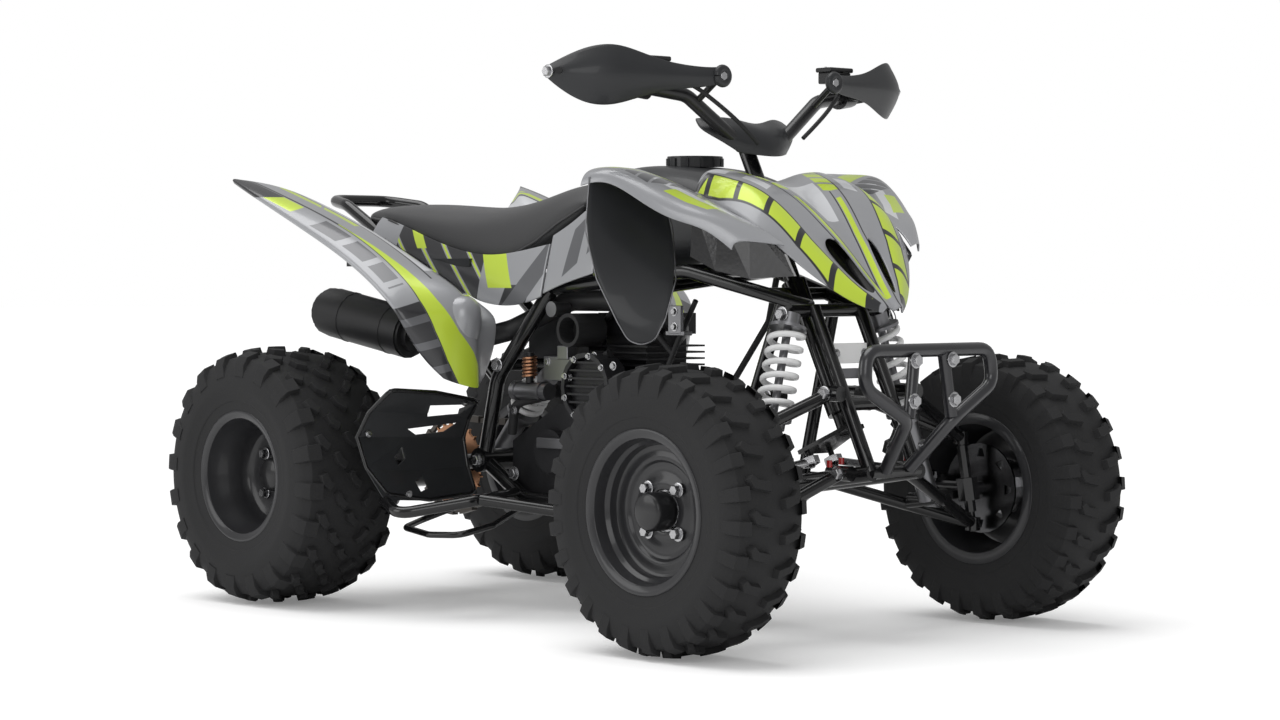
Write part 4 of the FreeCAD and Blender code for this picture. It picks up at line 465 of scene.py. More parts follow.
# Tread blocks: start as a share of the pitch, and an outline of (share of the pitch ahead, distance across)
FRONT_BLOCKS = tuple(
    (start, tuple((ahead, way * reach) for ahead, reach in
                  ((-0.30, 12), (-0.14, 52), (0.16, 60), (0.30, 52), (0.12, 40), (0.02, 10))))
    for start, way in ((0.0, 1), (0.5, -1)))
REAR_BLOCKS = (
    (0.0, ((-0.22, 0), (-0.02, 20), (0.20, 26), (0.26, 12), (0.08, 6), (-0.04, -10))),
    (0.5, ((-0.24, 32), (-0.06, 50), (0.20, 56), (0.26, 44), (0.06, 36), (-0.06, 22))),
    (0.5, ((-0.22, -18), (-0.02, -36), (0.20, -44), (0.26, -30), (0.08, -22), (-0.04, -8))),
    (0.0, ((-0.26, 66), (-0.08, 84), (0.18, 88), (0.24, 74), (0.04, 66), (-0.10, 56))),
    (0.0, ((-0.24, -52), (-0.06, -70), (0.20, -76), (0.26, -62), (0.06, -54), (-0.06, -42))),
)

# A tyre's radius, width, radius of the bead, blocks and how often they repeat; drop is how far the crown
# falls at its edges, and lug the height of the blocks
Tread = namedtuple("Tread", "radius width bead blocks count drop lug")
FRONT_TREAD = Tread(250, 166, 129, FRONT_BLOCKS, 26, 14, 11)
REAR_TREAD = Tread(253, 230, 116.5, REAR_BLOCKS, 20, 16, 11)

# Panels: rows of points along the quad, from the middle or the inner edge outwards
COWL = (
    ((708, 0, 583), (709, 10, 591), (709, 17, 592), (707, 21, 588), (704, 26, 580)),
    ((684, 0, 606), (686, 17, 618), (684, 36, 612), (682, 56, 612), (676, 70, 596)),
    ((645, 0, 644), (650, 26, 658), (645, 56, 650), (642, 92, 664), (636, 122, 640)),
    ((592, 0, 706), (598, 38, 722), (594, 74, 706), (590, 125, 732), (584, 172, 700)),
    ((538, 0, 752), (544, 56, 778), (540, 94, 780), (534, 150, 792), (536, 188, 742)),
    ((477, 0, 800), (480, 60, 818), (474, 106, 822), (468, 164, 822), (480, 194, 765)),
    ((401, 0, 809), (402, 60, 832), (400, 112, 838), (395, 168, 838), (410, 200, 790)),
)
COWL_LINER = (
    ((688, 0, 586), (688, 18, 590), (684, 40, 584)),
    ((640, 0, 632), (644, 34, 640), (640, 78, 636)),
    ((590, 0, 690), (594, 42, 702), (590, 96, 696)),
    ((545, 0, 732), (549, 50, 750), (545, 112, 748)),
)
FENDER = (
    ((600, 165, 700), (578, 205, 705), (551, 242, 708), (548, 244, 690)),
    ((560, 180, 730), (545, 225, 745), (515, 270, 752), (512, 274, 730)),
    ((500, 190, 755), (480, 245, 775), (470, 305, 768), (466, 310, 742)),
    ((424, 200, 790), (420, 265, 812), (425, 332, 800), (421, 338, 772)),
    ((350, 210, 820), (352, 285, 838), (355, 352, 846), (351, 358, 818)),
    ((282, 215, 838), (290, 290, 842), (300, 365, 835), (297, 372, 805)),
)
FLAP = (
    ((330, 215, 826), (320, 300, 832), (315, 366, 820)),
    ((375, 220, 730), (345, 310, 720), (325, 385, 725)),
    ((420, 255, 640), (375, 320, 625), (340, 372, 640)),
    ((440, 300, 570), (400, 335, 555), (372, 352, 565)),
    ((425, 312, 532), (405, 325, 524), (385, 338, 532)),
)
TANK = (
    ((385, 0, 800), (380, 80, 806), (385, 135, 790), (382, 134, 712), (378, 70, 690)),
    ((330, 0, 828), (325, 80, 832), (325, 140, 812), (325, 138, 700), (325, 60, 672)),
    ((260, 0, 847), (255, 85, 848), (255, 145, 825), (255, 142, 690), (255, 55, 662)),
    ((160, 0, 848), (160, 95, 858), (155, 148, 826), (155, 145, 682), (155, 50, 654)),
    ((80, 0, 845), (80, 85, 846), (75, 142, 808), (77, 140, 680), (78, 50, 652)),
    ((30, 0, 838), (30, 75, 822), (30, 122, 772), (34, 124, 682), (36, 50, 656)),
)
SEAT = (
    ((28, 0, 830), (28, 70, 818), (28, 105, 800), (28, 120, 790)),
    ((-40, 0, 829), (-40, 78, 820), (-40, 112, 785), (-40, 128, 757)),
    ((-102, 0, 816), (-102, 82, 806), (-102, 115, 765), (-102, 132, 722)),
    ((-180, 0, 797), (-180, 88, 785), (-180, 120, 740), (-180, 135, 692)),
    ((-260, 0, 786), (-260, 92, 775), (-260, 124, 735), (-260, 137, 694)),
    ((-340, 0, 783), (-340, 94, 773), (-340, 126, 742), (-340, 138, 704)),
    ((-450, 0, 790), (-450, 94, 780), (-450, 124, 762), (-450, 136, 736)),
    ((-545, 0, 794), (-545, 90, 788), (-545, 116, 778), (-545, 128, 768)),
    ((-642, 0, 791), (-642, 70, 787), (-642, 90, 781), (-642, 100, 775)),
    ((-692, 0, 771), (-692, 50, 770), (-690, 66, 768), (-688, 76, 766)),
)
REAR_BLADE = (
    ((-600, 150, 735), (-650, 250, 760), (-715, 366, 834), (-731, 378, 841), (-733, 385, 838), (-729, 382, 830)),
    ((-585, 142, 735), (-610, 262, 750), (-655, 300, 830), (-690, 356, 834), (-680, 398, 824), (-676, 392, 812)),
    ((-550, 145, 722), (-570, 246, 735), (-582, 258, 796), (-592, 350, 808), (-588, 402, 790), (-586, 396, 777)),
    ((-460, 152, 690), (-475, 238, 690), (-480, 250, 756), (-485, 346, 778), (-478, 404, 746), (-477, 398, 733)),
    ((-370, 156, 655), (-375, 238, 650), (-378, 250, 719), (-382, 345, 740), (-374, 404, 702), (-374, 398, 689)),
    ((-290, 160, 620), (-292, 238, 614), (-292, 250, 686), (-300, 344, 694), (-296, 402, 661), (-297, 396, 648)),
    ((-225, 164, 592), (-225, 238, 586), (-222, 250, 660), (-238, 340, 650), (-236, 400, 620), (-240, 394, 610)),
    ((-172, 170, 570), (-168, 238, 566), (-160, 250, 636), (-186, 336, 600), (-194, 394, 584), (-202, 388, 576)),
    ((-160, 176, 545), (-152, 236, 545), (-136, 250, 596), (-154, 324, 548), (-182, 372, 530), (-192, 366, 526)),
    ((-160, 184, 500), (-150, 236, 498), (-130, 246, 520), (-140, 306, 492), (-166, 342, 483), (-176, 336, 480)),
    ((-162, 206, 452), (-150, 230, 438), (-134, 240, 430), (-136, 276, 437), (-148, 316, 450), (-160, 310, 452)),
)
HIP_PANEL = (
    ((-585, 118, 764), (-585, 132, 750), (-585, 142, 735)),
    ((-500, 132, 748), (-500, 144, 728), (-500, 150, 706)),
    ((-400, 139, 716), (-400, 150, 694), (-400, 155, 668)),
    ((-300, 141, 692), (-300, 154, 660), (-300, 160, 624)),
    ((-225, 140, 684), (-225, 155, 640), (-225, 164, 592)),
    ((-150, 140, 690), (-145, 156, 638), (-140, 164, 586)),
    ((-85, 140, 700), (-80, 156, 645), (-80, 163, 596)),
    ((-46, 140, 706), (-44, 155, 660), (-50, 161, 606)),
)
SIDE_PANEL = (
    ((100, 150, 785), (98, 156, 720), (94, 158, 650)),
    ((55, 140, 768), (54, 152, 706), (50, 158, 640)),
    ((5, 132, 744), (4, 150, 686), (0, 158, 628)),
    ((-44, 134, 722), (-42, 150, 668), (-46, 159, 612)),
)
HANDGUARD = (
    ((421, 156, 986), (428, 156, 1002), (421, 156, 1018)),
    ((412, 180, 980), (424, 180, 1000), (412, 180, 1017)),
    ((396, 255, 975), (412, 255, 1000), (398, 255, 1023)),
    ((376, 312, 957), (404, 312, 1000), (380, 312, 1043)),
    ((360, 355, 943), (396, 357, 1000), (366, 355, 1055)),
    ((334, 395, 946), (374, 398, 1000), (338, 395, 1048)),
    ((306, 428, 972), (336, 434, 1002), (308, 428, 1027)),
    ((290, 444, 992), (302, 452, 1003), (290, 444, 1014)),
)
BAR_COVER = (
    ((366, 0, 918), (352, 55, 938), (322, 112, 932)),
    ((398, 0, 910), (384, 52, 922), (344, 124, 914)),
    ((416, 0, 886), (402, 46, 892), (366, 96, 892)),
    ((412, 0, 862), (404, 30, 864), (384, 60, 868)),
)

# Cells of the whole cowl's grid that stay open as its air slots
COWL_SLOTS = [(row, column) for row in (1, 2) for column in (2, 5)]


# Mesh building: places and sizes come in millimetres

def across(points, side=1):
    return [Vector((x, y * side, z)) for x, y, z in points]


def on_both(runs):
    """Each run on the left and on the right."""
    return [(across(points, side), *sizes) for points, *sizes in runs for side in (1, -1)]


def mirrored(pairs):
    """Each (place, way) on the left and on the right."""
    return [across(pair, side) for pair in pairs for side in (1, -1)]


def both_sides(table):
    return [[across(row, side) for row in table] for side in (1, -1)]


def whole_width(table):
    return [across(reversed(row[1:]), -1) + across(row) for row in table]


def line_of(ends):
    """Both ends as vectors, and the way from the first to the second."""
    low, high = across(ends)
    return low, high, (high - low).normalized()


def turns(count):
    return [math.tau * step / count for step in range(count)]


def spoke(turn, radius, reach):
    """A place at a distance outwards along an axle and a radius away from it."""
    return Vector((math.cos(turn) * radius, reach, math.sin(turn) * radius))


def own(piece, body, slot, *nodes):
    """The piece rides on a body in the finish of a slot and stands for the CAD nodes."""
    piece.data.materials.clear()
    piece.data.materials.append(finish_of(slot))
    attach(piece, body)
    if nodes:
        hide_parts(*nodes)
    return piece


def linked(name, data):
    made = bpy.data.objects.new(name, data)
    bpy.context.collection.objects.link(made)
    return made


def vertex(form, place):
    return form.verts.new(Vector(place) * MM)


def weave(form, rows, closed=True, holes=()):
    """Faces between each row of corners and the next; a closed row joins its own ends."""
    for number, (near, far) in enumerate(zip(rows, rows[1:])):
        if closed:
            near, far = near + near[:1], far + far[:1]
        for column, corners in enumerate(zip(near, near[1:], far[1:], far)):
            if (number, column) not in holes:
                form.faces.new(corners)


def merge(form):
    bmesh.ops.remove_doubles(form, verts=form.verts, dist=1e-6)


def from_bmesh(name, form, smooth=True):
    bmesh.ops.recalc_face_normals(form, faces=form.faces)
    for face in form.faces:
        face.smooth = smooth
    mesh = bpy.data.meshes.new(name)
    form.to_mesh(mesh)
    form.free()
    return linked(name, mesh)


def add_modifier(piece, kind, **settings):
    made = piece.modifiers.new(kind.lower(), kind)
    for name, value in settings.items():
        setattr(made, name, value)


def bevel(piece, width, angle=0.7):
    add_modifier(piece, "BEVEL", width=width * MM, segments=2, limit_method="ANGLE", angle_limit=angle)


def rounded(points, bend=10, steps=7, nearly_straight=1.54):
    """The route with an arc in place of each corner, or as it is with a bend of 0."""
    route = [points[0]]
    for before, corner, after in zip(points, points[1:], points[2:]):
        inward, outward = before - corner, after - corner
        room = 0.45 * min(inward.length, outward.length)
        half = inward.angle(outward) / 2
        if half > nearly_straight or not bend:
            route.append(corner)
            continue
        cut = min(bend / math.tan(half), room)
        first, last = corner + inward.normalized() * cut, corner + outward.normalized() * cut
        for step in range(steps + 1):
            share = step / steps
            route.append(first.lerp(corner, share).lerp(corner.lerp(last, share), share))
    route.append(points[-1])
    return route


def pipes(name, runs, slot, *nodes, body="chassis", smooth=False):
    """Round bars along routes of (points, radius, bend), or smooth ones whose points steer them."""
    curve = bpy.data.curves.new(name, "CURVE")
    curve.dimensions = "3D"
    curve.bevel_depth = MM
    curve.bevel_resolution = 5 if smooth else 7
    curve.use_fill_caps = True
    for points, radius, *bend in runs:
        route = across(points) if smooth else rounded(across(points), *bend)
        spline = curve.splines.new("NURBS" if smooth else "POLY")
        spline.points.add(len(route) - 1)
        for point, place in zip(spline.points, route):
            point.co = (*(place * MM), 1)
            point.radius = radius
        if smooth:
            spline.order_u = 3
            spline.use_endpoint_u = True
            spline.resolution_u = 16
    return own(linked(name, curve), body, slot, *nodes)


def stub(place, reach, radius):
    """A short bar that reaches equally far to both sides of a place."""
    place, reach = Vector(place), Vector(reach)
    return (place - reach, place + reach), radius


def rings(place, way, *rows):
    """Bars along a way through a place; each row is (start, end, radius)."""
    return [((place + way * start, place + way * end), radius) for start, end, radius in rows]


def helix(ends, radius, count, steps=20):
    """The points of a coil between two ends."""
    low, high, rise = line_of(ends)
    side = rise.cross(Vector((1, 0, 0))).normalized()
    front = rise.cross(side)
    points = []
    for step in range(count * steps + 1):
        turn = math.tau * step / steps
        middle = low.lerp(high, step / (count * steps))
        points.append(middle + (side * math.cos(turn) + front * math.sin(turn)) * radius)
    return points


def lathe(form, centre, profile, side=1, steps=72):
    """Turns a profile of (distance outwards, radius) round the axle through the centre."""
    rows = [[vertex(form, centre + spoke(turn, radius, side * reach)) for reach, radius in profile]
            for turn in turns(steps)]
    weave(form, rows + rows[:1], closed=False)


def egg(form, centre, profile, steps=24):
    """An upright round form from its profile of (height, radius)."""
    weave(form, [[vertex(form, centre + Vector((radius * math.cos(turn), radius * math.sin(turn), height)))
                  for turn in turns(steps)] for height, radius in profile])
    merge(form)


def turned_piece(name, places, profile, body, slot, *nodes, steps=72):
    """The same turned form at each (centre, side)."""
    form = bmesh.new()
    for centre, side in places:
        lathe(form, centre, profile, side, steps)
    merge(form)
    piece = from_bmesh(name, form)
    bevel(piece, 1.2)
    own(piece, body, slot, *nodes)


def skins(name, tables, slot, *nodes, body="chassis", wall=None, holes=()):
    """Moulded panels through grids of points, rounded and given their wall in metres."""
    form = bmesh.new()
    for table in tables:
        weave(form, [[vertex(form, point) for point in row] for row in table], False, holes)
    piece = from_bmesh(name, form)
    add_modifier(piece, "SUBSURF", levels=3, render_levels=3, boundary_smooth="PRESERVE_CORNERS")
    add_modifier(piece, "SOLIDIFY", thickness=wall or bpy.context.scene.quad_sizes.panel_wall, offset=-1.0)
    bevel(piece, 0.9, angle=0.9)
    own(piece, body, slot, *nodes)


def blocks(name, places, slot, body="chassis", edge=2.0):
    """Blocks of (centre, size) with rounded edges."""
    form = bmesh.new()
    for centre, size in places:
        made = bmesh.ops.create_cube(form, size=1.0)
        bmesh.ops.scale(form, vec=Vector(size) * MM, verts=made["verts"])
        bmesh.ops.translate(form, vec=Vector(centre) * MM, verts=made["verts"])
    piece = from_bmesh(name, form, smooth=False)
    add_modifier(piece, "BEVEL", width=edge * MM, segments=3)
    own(piece, body, slot)


# Number of sides, radius as a share of the bolt's size, and foot and top as shares of its height
WASHER, HEAD = (20, 1.35, 0.0, 0.22), (6, 1.0, 0.2, 1.0)


def bolts(name, places, size, tall, body="chassis"):
    """Hexagon heads on washers, each at (place, outward way)."""
    form = bmesh.new()
    for place, way in places:
        turned = Vector((0, 0, 1)).rotation_difference(Vector(way).normalized()).to_matrix()
        for sides, radius, low, high in (WASHER, HEAD):
            rows = []
            for lift, share in ((low, 1.0), (high * 0.85, 1.0), (high, 0.86)):
                reach = size * radius * share
                rows.append([vertex(form, Vector(place) + turned @ Vector((
                    math.cos(turn) * reach, math.sin(turn) * reach, lift * tall))) for turn in turns(sides)])
            form.faces.new(rows[-1])
            form.faces.new(rows[0][::-1])
            weave(form, rows)
    own(from_bmesh(name, form, False), body, "bare_steel")


# Wheels

def crown(tread, reach):
    """Radius of the rubber under the lugs at a distance from the tyre's middle."""
    share = min(abs(reach) / (tread.width / 2), 1.0)
    return tread.radius - tread.lug - tread.drop * share ** 2.4


def carcass(tread):
    """The tyre's profile from one bead over the crown to the other."""
    half, bead = tread.width / 2, tread.bead
    shoulder = crown(tread, half)
    side = [(0.83, bead), (0.86, bead + 8), (0.90, bead + 12), (0.93, bead + 30), (0.945, bead + 31),
            (0.955, bead + 35), (0.965, bead + 45), (0.995, bead + 55), (1.0, bead + 64),
            (0.985, shoulder - 22), (0.94, shoulder - 8)]
    crest = [(share, crown(tread, share * half)) for share in (0.86, 0.7, 0.5, 0.3, 0.1)]
    near = [(share * half, height) for share, height in side + crest]
    return near + [(-reach, height) for reach, height in reversed(near)]


def lug_block(form, centre, outline, turn, tread, root=3):
    """A tread block over its outline of (distance ahead, distance across)."""
    middle = sum(map(Vector, outline), Vector((0, 0))) / len(outline)
    rows = []
    for share, lift in ((1.0, -root), (0.84, tread.lug)):
        row = []
        for corner in outline:
            ahead, reach = middle.lerp(Vector(corner), share)
            radius = crown(tread, reach) + lift
            row.append(vertex(form, centre + spoke(turn + ahead / tread.radius, radius, reach)))
        rows.append(row)
    form.faces.new(rows[1])
    weave(form, rows)


def shoulder_block(form, centre, turn, breadth, tread, side):
    """A block that wraps from the tread down the sidewall."""
    half = tread.width / 2
    rows = []
    for reach, height, lift in ((0.74, 0, 0.98), (0.90, -4, 0.95), (0.975, -16, 0.80), (1.0, -34, 0.45)):
        row = []
        for ahead in (-1, -0.8, 0.8, 1):
            top = abs(ahead) < 1
            rise = tread.lug * lift if top else -4
            outward = reach * half + (4 * lift if top and reach > 0.8 else -3)
            radius = crown(tread, reach * half) + height + rise
            row.append(vertex(form, centre + spoke(
                turn + ahead * breadth / 2, radius, side * min(outward, half))))
        rows.append(row)
    weave(form, rows, closed=False)


def tyre(name, places, tread, body, node):
    """A tyre at each (centre, side), with its carcass, tread blocks and shoulder blocks."""
    form = bmesh.new()
    step = math.tau / tread.count
    for centre, side in places:
        lathe(form, centre, carcass(tread), side, 120)
        for turn in turns(tread.count):
            for start, outline in tread.blocks:
                corners = [(ahead * step * tread.radius, reach * side) for ahead, reach in outline]
                lug_block(form, centre, corners, turn + start * step, tread)
            for way, start in ((1, 0.25), (-1, 0.75)):
                shoulder_block(form, centre, turn + start * step, step / 2, tread, way)
    piece = from_bmesh(name, form)
    bevel(piece, 1.6, angle=0.6)
    add_modifier(piece, "WEIGHTED_NORMAL")
    own(piece, body, "tyre", node)


def wheel(names, places, body, nodes, tread, rim, cap, nuts):
    """Tyre, rim, cap and nuts at each (centre, side)."""
    tyre(names[0], places, tread, body, nodes[0])
    turned_piece(names[1], places, rim, body, "rim", nodes[1])
    turned_piece(names[2], places, cap, body, "bar_black", steps=48)
    radius, reach, size = nuts
    bolts(names[3], [(centre + spoke(turn + math.tau / 8, radius, side * reach), (0, side, 0))
                     for centre, side in places for turn in turns(4)], size, tall=14, body=body)


class QUAD_OT_wheels(bpy.types.Operator):
    """Make the tyres with their tread, the rims, the hub caps and the wheel nuts"""
    bl_idname = "quad.wheels"
    bl_label = "Wheels"

    def execute(self, context):
        for side, word in SIDE_NAMES:
            names = ["tread_front_" + word, "dished_rim_" + word, "centre_cap_" + word, "wheel_nuts_" + word]
            wheel(names, [(across([FRONT_WHEEL], side)[0], side)], "wheel_front_" + word,
                  ("tyre_front_" + word, "rim_front_" + word),
                  FRONT_TREAD, FRONT_RIM, FRONT_CAP, FRONT_NUTS)
        names = ["tread_rear", "dished_rims_rear", "centre_caps_rear", "wheel_nuts_rear"]
        wheel(names, [(across([REAR_WHEEL], side)[0], side) for side in (1, -1)], "rear_wheels",
              ("rear_tyres", "rear_rims"), REAR_TREAD, REAR_RIM, REAR_CAP, REAR_NUTS)
        return {"FINISHED"}


# Tubes

def tie_rod_ends(side, word):
    """Outer pin and inner stud of one tie rod, from the node's own box."""
    low, high = (Vector(corner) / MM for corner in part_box("tie_rod_" + word))
    outer_y, inner_y = (high.y, low.y) if side > 0 else (low.y, high.y)
    return (Vector((low.x + 13, outer_y - side * 14, low.z + 10)),
            Vector((high.x - 16, inner_y + side * 14, high.z - 12)))


def frame_runs():
    """The frame's rails, posts and cross bars, and the bushes that hold the stem."""
    runs = on_both([(LOWER_RAIL, RAIL, 70), (UPPER_RAIL, TUBE, 90), (TOWER, TUBE), (REAR_POST, RAIL, 70),
                    (BRACE, STRUT), (DOWN_TUBE, STRUT), stub((-262, 120, 285), (0, 17, 0), 24)])
    runs += [stub((x, 0, z), (0, y, 0), STRUT) for x, y, z in CROSS_ENDS]
    low, _, rise = line_of(STEM)
    for height in (613, 420):
        bush = low + rise * ((height - low.z) / rise.z)
        runs.append(stub(bush, rise * 23, 23))
    return runs + [((bush, (649, 0, 420)), TUBE)]


def arm_runs(inner, joint):
    """One wishbone: its pivots, its two bars and the barrel of its ball joint."""
    ball = Vector(joint)
    runs = [stub(ball, (0, 0, 12), 14.5)]
    for pivot in across(inner):
        runs += [stub(pivot, (26, 0, 0), 13.8), ((pivot, ball.lerp(pivot, 0.04)), ARM)]
    return runs


def muffler_runs():
    """The muffler's can with its end caps, bands and outlet."""
    low, high, way = line_of(MUFFLER)
    return ([((low + way * 6, high - way * 20), 49.5)]
            + rings(low, way, (-12, 4, 34), (0, 12, 46), (50, 62, 50.5))
            + rings(high, way, (-75, -63, 50.5), (-20, -4, 47.5), (-6, 8, 40), (0, 24, 14)))


class QUAD_OT_tubes(bpy.types.Operator):
    """Make the frame, arms, bumper, pegs, grab bar and exhaust as round tubes with bends"""
    bl_idname = "quad.tubes"
    bl_label = "Tubes"

    def execute(self, context):
        pipes("frame_tubes", frame_runs(), "frame_black", "frame")
        hoop = across(BUMPER) + across(reversed(BUMPER), -1)
        pipes("bumper_tubes", [(hoop, 12, 34)] + on_both([(UPRIGHT, 10.8)]), "bumper_black", "front_bumper")
        pipes("grab_tube", [(across(GRAB) + across(reversed(GRAB), -1), 12, 50)], "frame_black", "grab_bar")
        pipes("guard_rims", on_both([(GUARD_RIM, 4.2, 20)]), "frame_black")
        pins = (((-268, 404, 345), (1, 0, 0.3)), ((-212, 215, 400), (1, 0, 0.8)),
                ((-226, 340, 230), (1, 0, -0.3)))
        bolts("guard_pins", mirrored(pins), size=5.6, tall=5)
        pipes("peg_hoops", on_both([(PEG_HOOP, 6.2, 30)]), "frame_black")
        pipes("peg_tubes", on_both([(PEG, 11, 40), (PEG_FRONT, 11, 40)]), "frame_black", "foot_pegs")
        brace = [Vector(BALL_LOW).lerp(pivot, 0.45) for pivot in across(LOWER_INNER)]
        lower = arm_runs(LOWER_INNER, BALL_LOW) + [stub(SHOCK[0], (45, 0, 0), ARM), (brace, 9)]
        pipes("lower_arm_tubes", on_both(lower), "frame_black", "lower_arms")
        pipes("upper_arm_tubes", on_both(arm_runs(UPPER_INNER, BALL_HIGH)), "frame_black", "upper_arms")
        swing = on_both([(SWING, RAIL), stub(SWING[-1], (0, 12, 0), HUB)])
        swing += [stub((-360, 0, 275.5), (0, 89, 0), RAIL), stub((-262, 0, 285), (0, 102.7, 0), 21.4),
                  stub((-588.5, -23, 253), (0, 85, 0), HUB), (((-500, -108, 262), (-488, -148, 256)), 14),
                  stub((-487, -149, 254), (0, 0, 22), 16), stub((-487, -118, 254), (0, 0, 22), 10)]
        pipes("swingarm_tubes", swing, "frame_black", "swingarm")
        pipes("exhaust_tube", [(EXHAUST, 20, 60)], "exhaust", "exhaust_pipe")
        pipes("muffler_can", muffler_runs(), "exhaust", "muffler")
        for side, word in SIDE_NAMES:
            tip, inner = tie_rod_ends(side, word)
            rod = [((inner, tip), ROD), ((tip.lerp(inner, 0.10), tip.lerp(inner, 0.22)), ROD_SLEEVE)]
            pipes("tie_rod_tube_" + word, rod, "bare_steel", body="tie_rod_" + word)
        return {"FINISHED"}


class QUAD_OT_bar(bpy.types.Operator):
    """Make the handlebar with its grips, levers, cables, guards and cover"""
    bl_idname = "quad.bar"
    bl_label = "Handlebar"

    def execute(self, context):
        sizes = context.scene.quad_sizes
        whole = across(reversed(BAR), -1) + across(BAR)
        pipes("bar_tube", [(whole, TUBE, 50)], "bar_black", "handlebar", body="bar")
        _, outer, reach = line_of(BAR[-2:])
        ribs = rings(outer, reach, (-124, 3.5, 15.5), (-124.5, -120.5, 20),
                     *((8.2 * number - 118, 8.2 * number - 114, 17) for number in range(14)))
        pipes("grip_ribs", on_both(ribs), "soft_rubber", "grips", body="bar")
        pod = outer - reach * 148
        controls = [stub(pod, reach * 22, 21.5), stub(pod + Vector((4, 0, 23)), (0, 0, 11), 16.5),
                    ((pod, pod + Vector((40, 18, 0)), outer + Vector((34, -22, -4))), 5.2, 20),
                    ((pod + Vector((0, 0, 4)), pod + Vector((30, 12, 0))), 8.5)]
        pipes("levers_and_pods", on_both(controls), "bar_black", "bar_controls", body="bar")
        low, high, rise = line_of(STEM)
        stem = [((low, high + rise * 14), 14.9), stub(CLAMP, (0, 45, 0), 22.5), ((high, CLAMP), 13.5)]
        pipes("stem_tube", stem, "frame_black", body="bar")
        skins("leaf_guards", both_sides(HANDGUARD), "dark_plastic", "handguards", body="bar",
              wall=sizes.guard_wall)
        stays = [(((359.8, 150, 956), (418, 148, 998)), 6), (((302, 416.5, 1004), (318, 441, 1004)), 6)]
        pipes("guard_stays", on_both(stays), "bar_black", body="bar")
        eye = [Vector((425, 145, 1002)) + EYE_MIDDLE * Vector((0, math.cos(step / 4), math.sin(step / 4)))
               for step in range(26)]
        pipes("guard_eyes", on_both([(eye, EYE_RIM, 0)]), "dark_plastic", body="bar")
        ends = (((421, 145, 1002), (1, 0, 0)), ((300, 449, 1003), (0, 1, 0)))
        bolts("guard_bolts", mirrored(ends), size=9, tall=9, body="bar")
        tubs = (((338, 238, 1018), (34, 56, 22)), ((338, 238, 1033), (40, 64, 9)),
                ((343, 238, 1000), (20, 26, 26)))
        blocks("fluid_tubs", [(across([centre], side)[0], size) for centre, size in tubs for side in (1, -1)],
               "bar_black", "bar", edge=3.0)
        screws = [((338, y, 1037.5), (0, 0, 1)) for y in (214, 262)]
        bolts("tub_screws", mirrored(screws), size=2.8, tall=1.6, body="bar")
        skins("winged_cover", [whole_width(BAR_COVER)], "dark_plastic", "bar_cover", body="bar",
              wall=sizes.guard_wall)
        for number, route in enumerate(CABLES):
            pipes(f"cable_{number}", [(route, sizes.cable_radius / MM)], "soft_rubber", "control_cables",
                  body="bar", smooth=True)
        return {"FINISHED"}


# Bodywork and seat

class QUAD_OT_body(bpy.types.Operator):
    """Make the cowl, fenders, flaps, tank and side panels as rounded mouldings"""
    bl_idname = "quad.body"
    bl_label = "Bodywork"

    def execute(self, context):
        skins("cowl_skin", [whole_width(COWL)], "silver_plastic", "front_cowl", holes=COWL_SLOTS)
        skins("cowl_liner", [whole_width(COWL_LINER)], "frame_black")
        skins("fender_skins", both_sides(FENDER), "silver_plastic", "front_fenders")
        skins("flap_skins", both_sides(FLAP), "dark_plastic", "mud_flaps")
        skins("rear_fender_skins", both_sides(REAR_BLADE) + both_sides(HIP_PANEL), "silver_plastic",
              "rear_fenders")
        form = bmesh.new()
        for side in (1, -1):
            egg(form, across([BLISTER_PLACE], side)[0], BLISTER)
        blisters = own(from_bmesh("fender_blisters", form), "chassis", "silver_plastic")
        add_modifier(blisters, "SUBSURF", levels=1, render_levels=1)
        rims = []
        for rows in both_sides(FLAP):
            rim = [row[-1] for row in rows] + [rows[-1][1]] + [row[0] for row in reversed(rows)]
            rims.append((rim, 1.2, 30))
        pipes("flap_edges", rims, "damper_steel")
        skins("side_panel_skins", both_sides(SIDE_PANEL), "silver_plastic", "side_panels")
        skins("tank_skin", [whole_width(TANK)], "dark_plastic", "fuel_tank", wall=TANK_WALL * MM)
        return {"FINISHED"}


class QUAD_OT_seat(bpy.types.Operator):
    """Make the seat as a crowned cushion with its piping"""
    bl_idname = "quad.seat"
    bl_label = "Seat"

    def execute(self, context):
        form = bmesh.new()
        top, under = [], []
        for row in whole_width(SEAT):
            floor = min(point.z for point in row) - SEAT_DEPTH
            top.append([vertex(form, point) for point in row])
            under.append([vertex(form, (point.x * 0.985, point.y * 0.95, floor)) for point in row])
        ends = [[top[0], under[0]], [top[-1], under[-1]]]
        flanks = [[[row[edge] for row in grid] for grid in (top, under)] for edge in (0, -1)]
        for rows in [top, under] + ends + flanks:
            weave(form, rows, closed=False)
        cushion = from_bmesh("seat_cushion", form)
        add_modifier(cushion, "SUBSURF", levels=3, render_levels=3)
        own(cushion, "chassis", "seat_cover", "seat")
        seam = [Vector(row[-1]) - Vector((0, 2, 12)) for row in SEAT]
        pipes("seat_piping", on_both([(seam, context.scene.quad_sizes.piping_radius / MM, 50)]), "seat_cover")
        return {"FINISHED"}


# Shocks and details

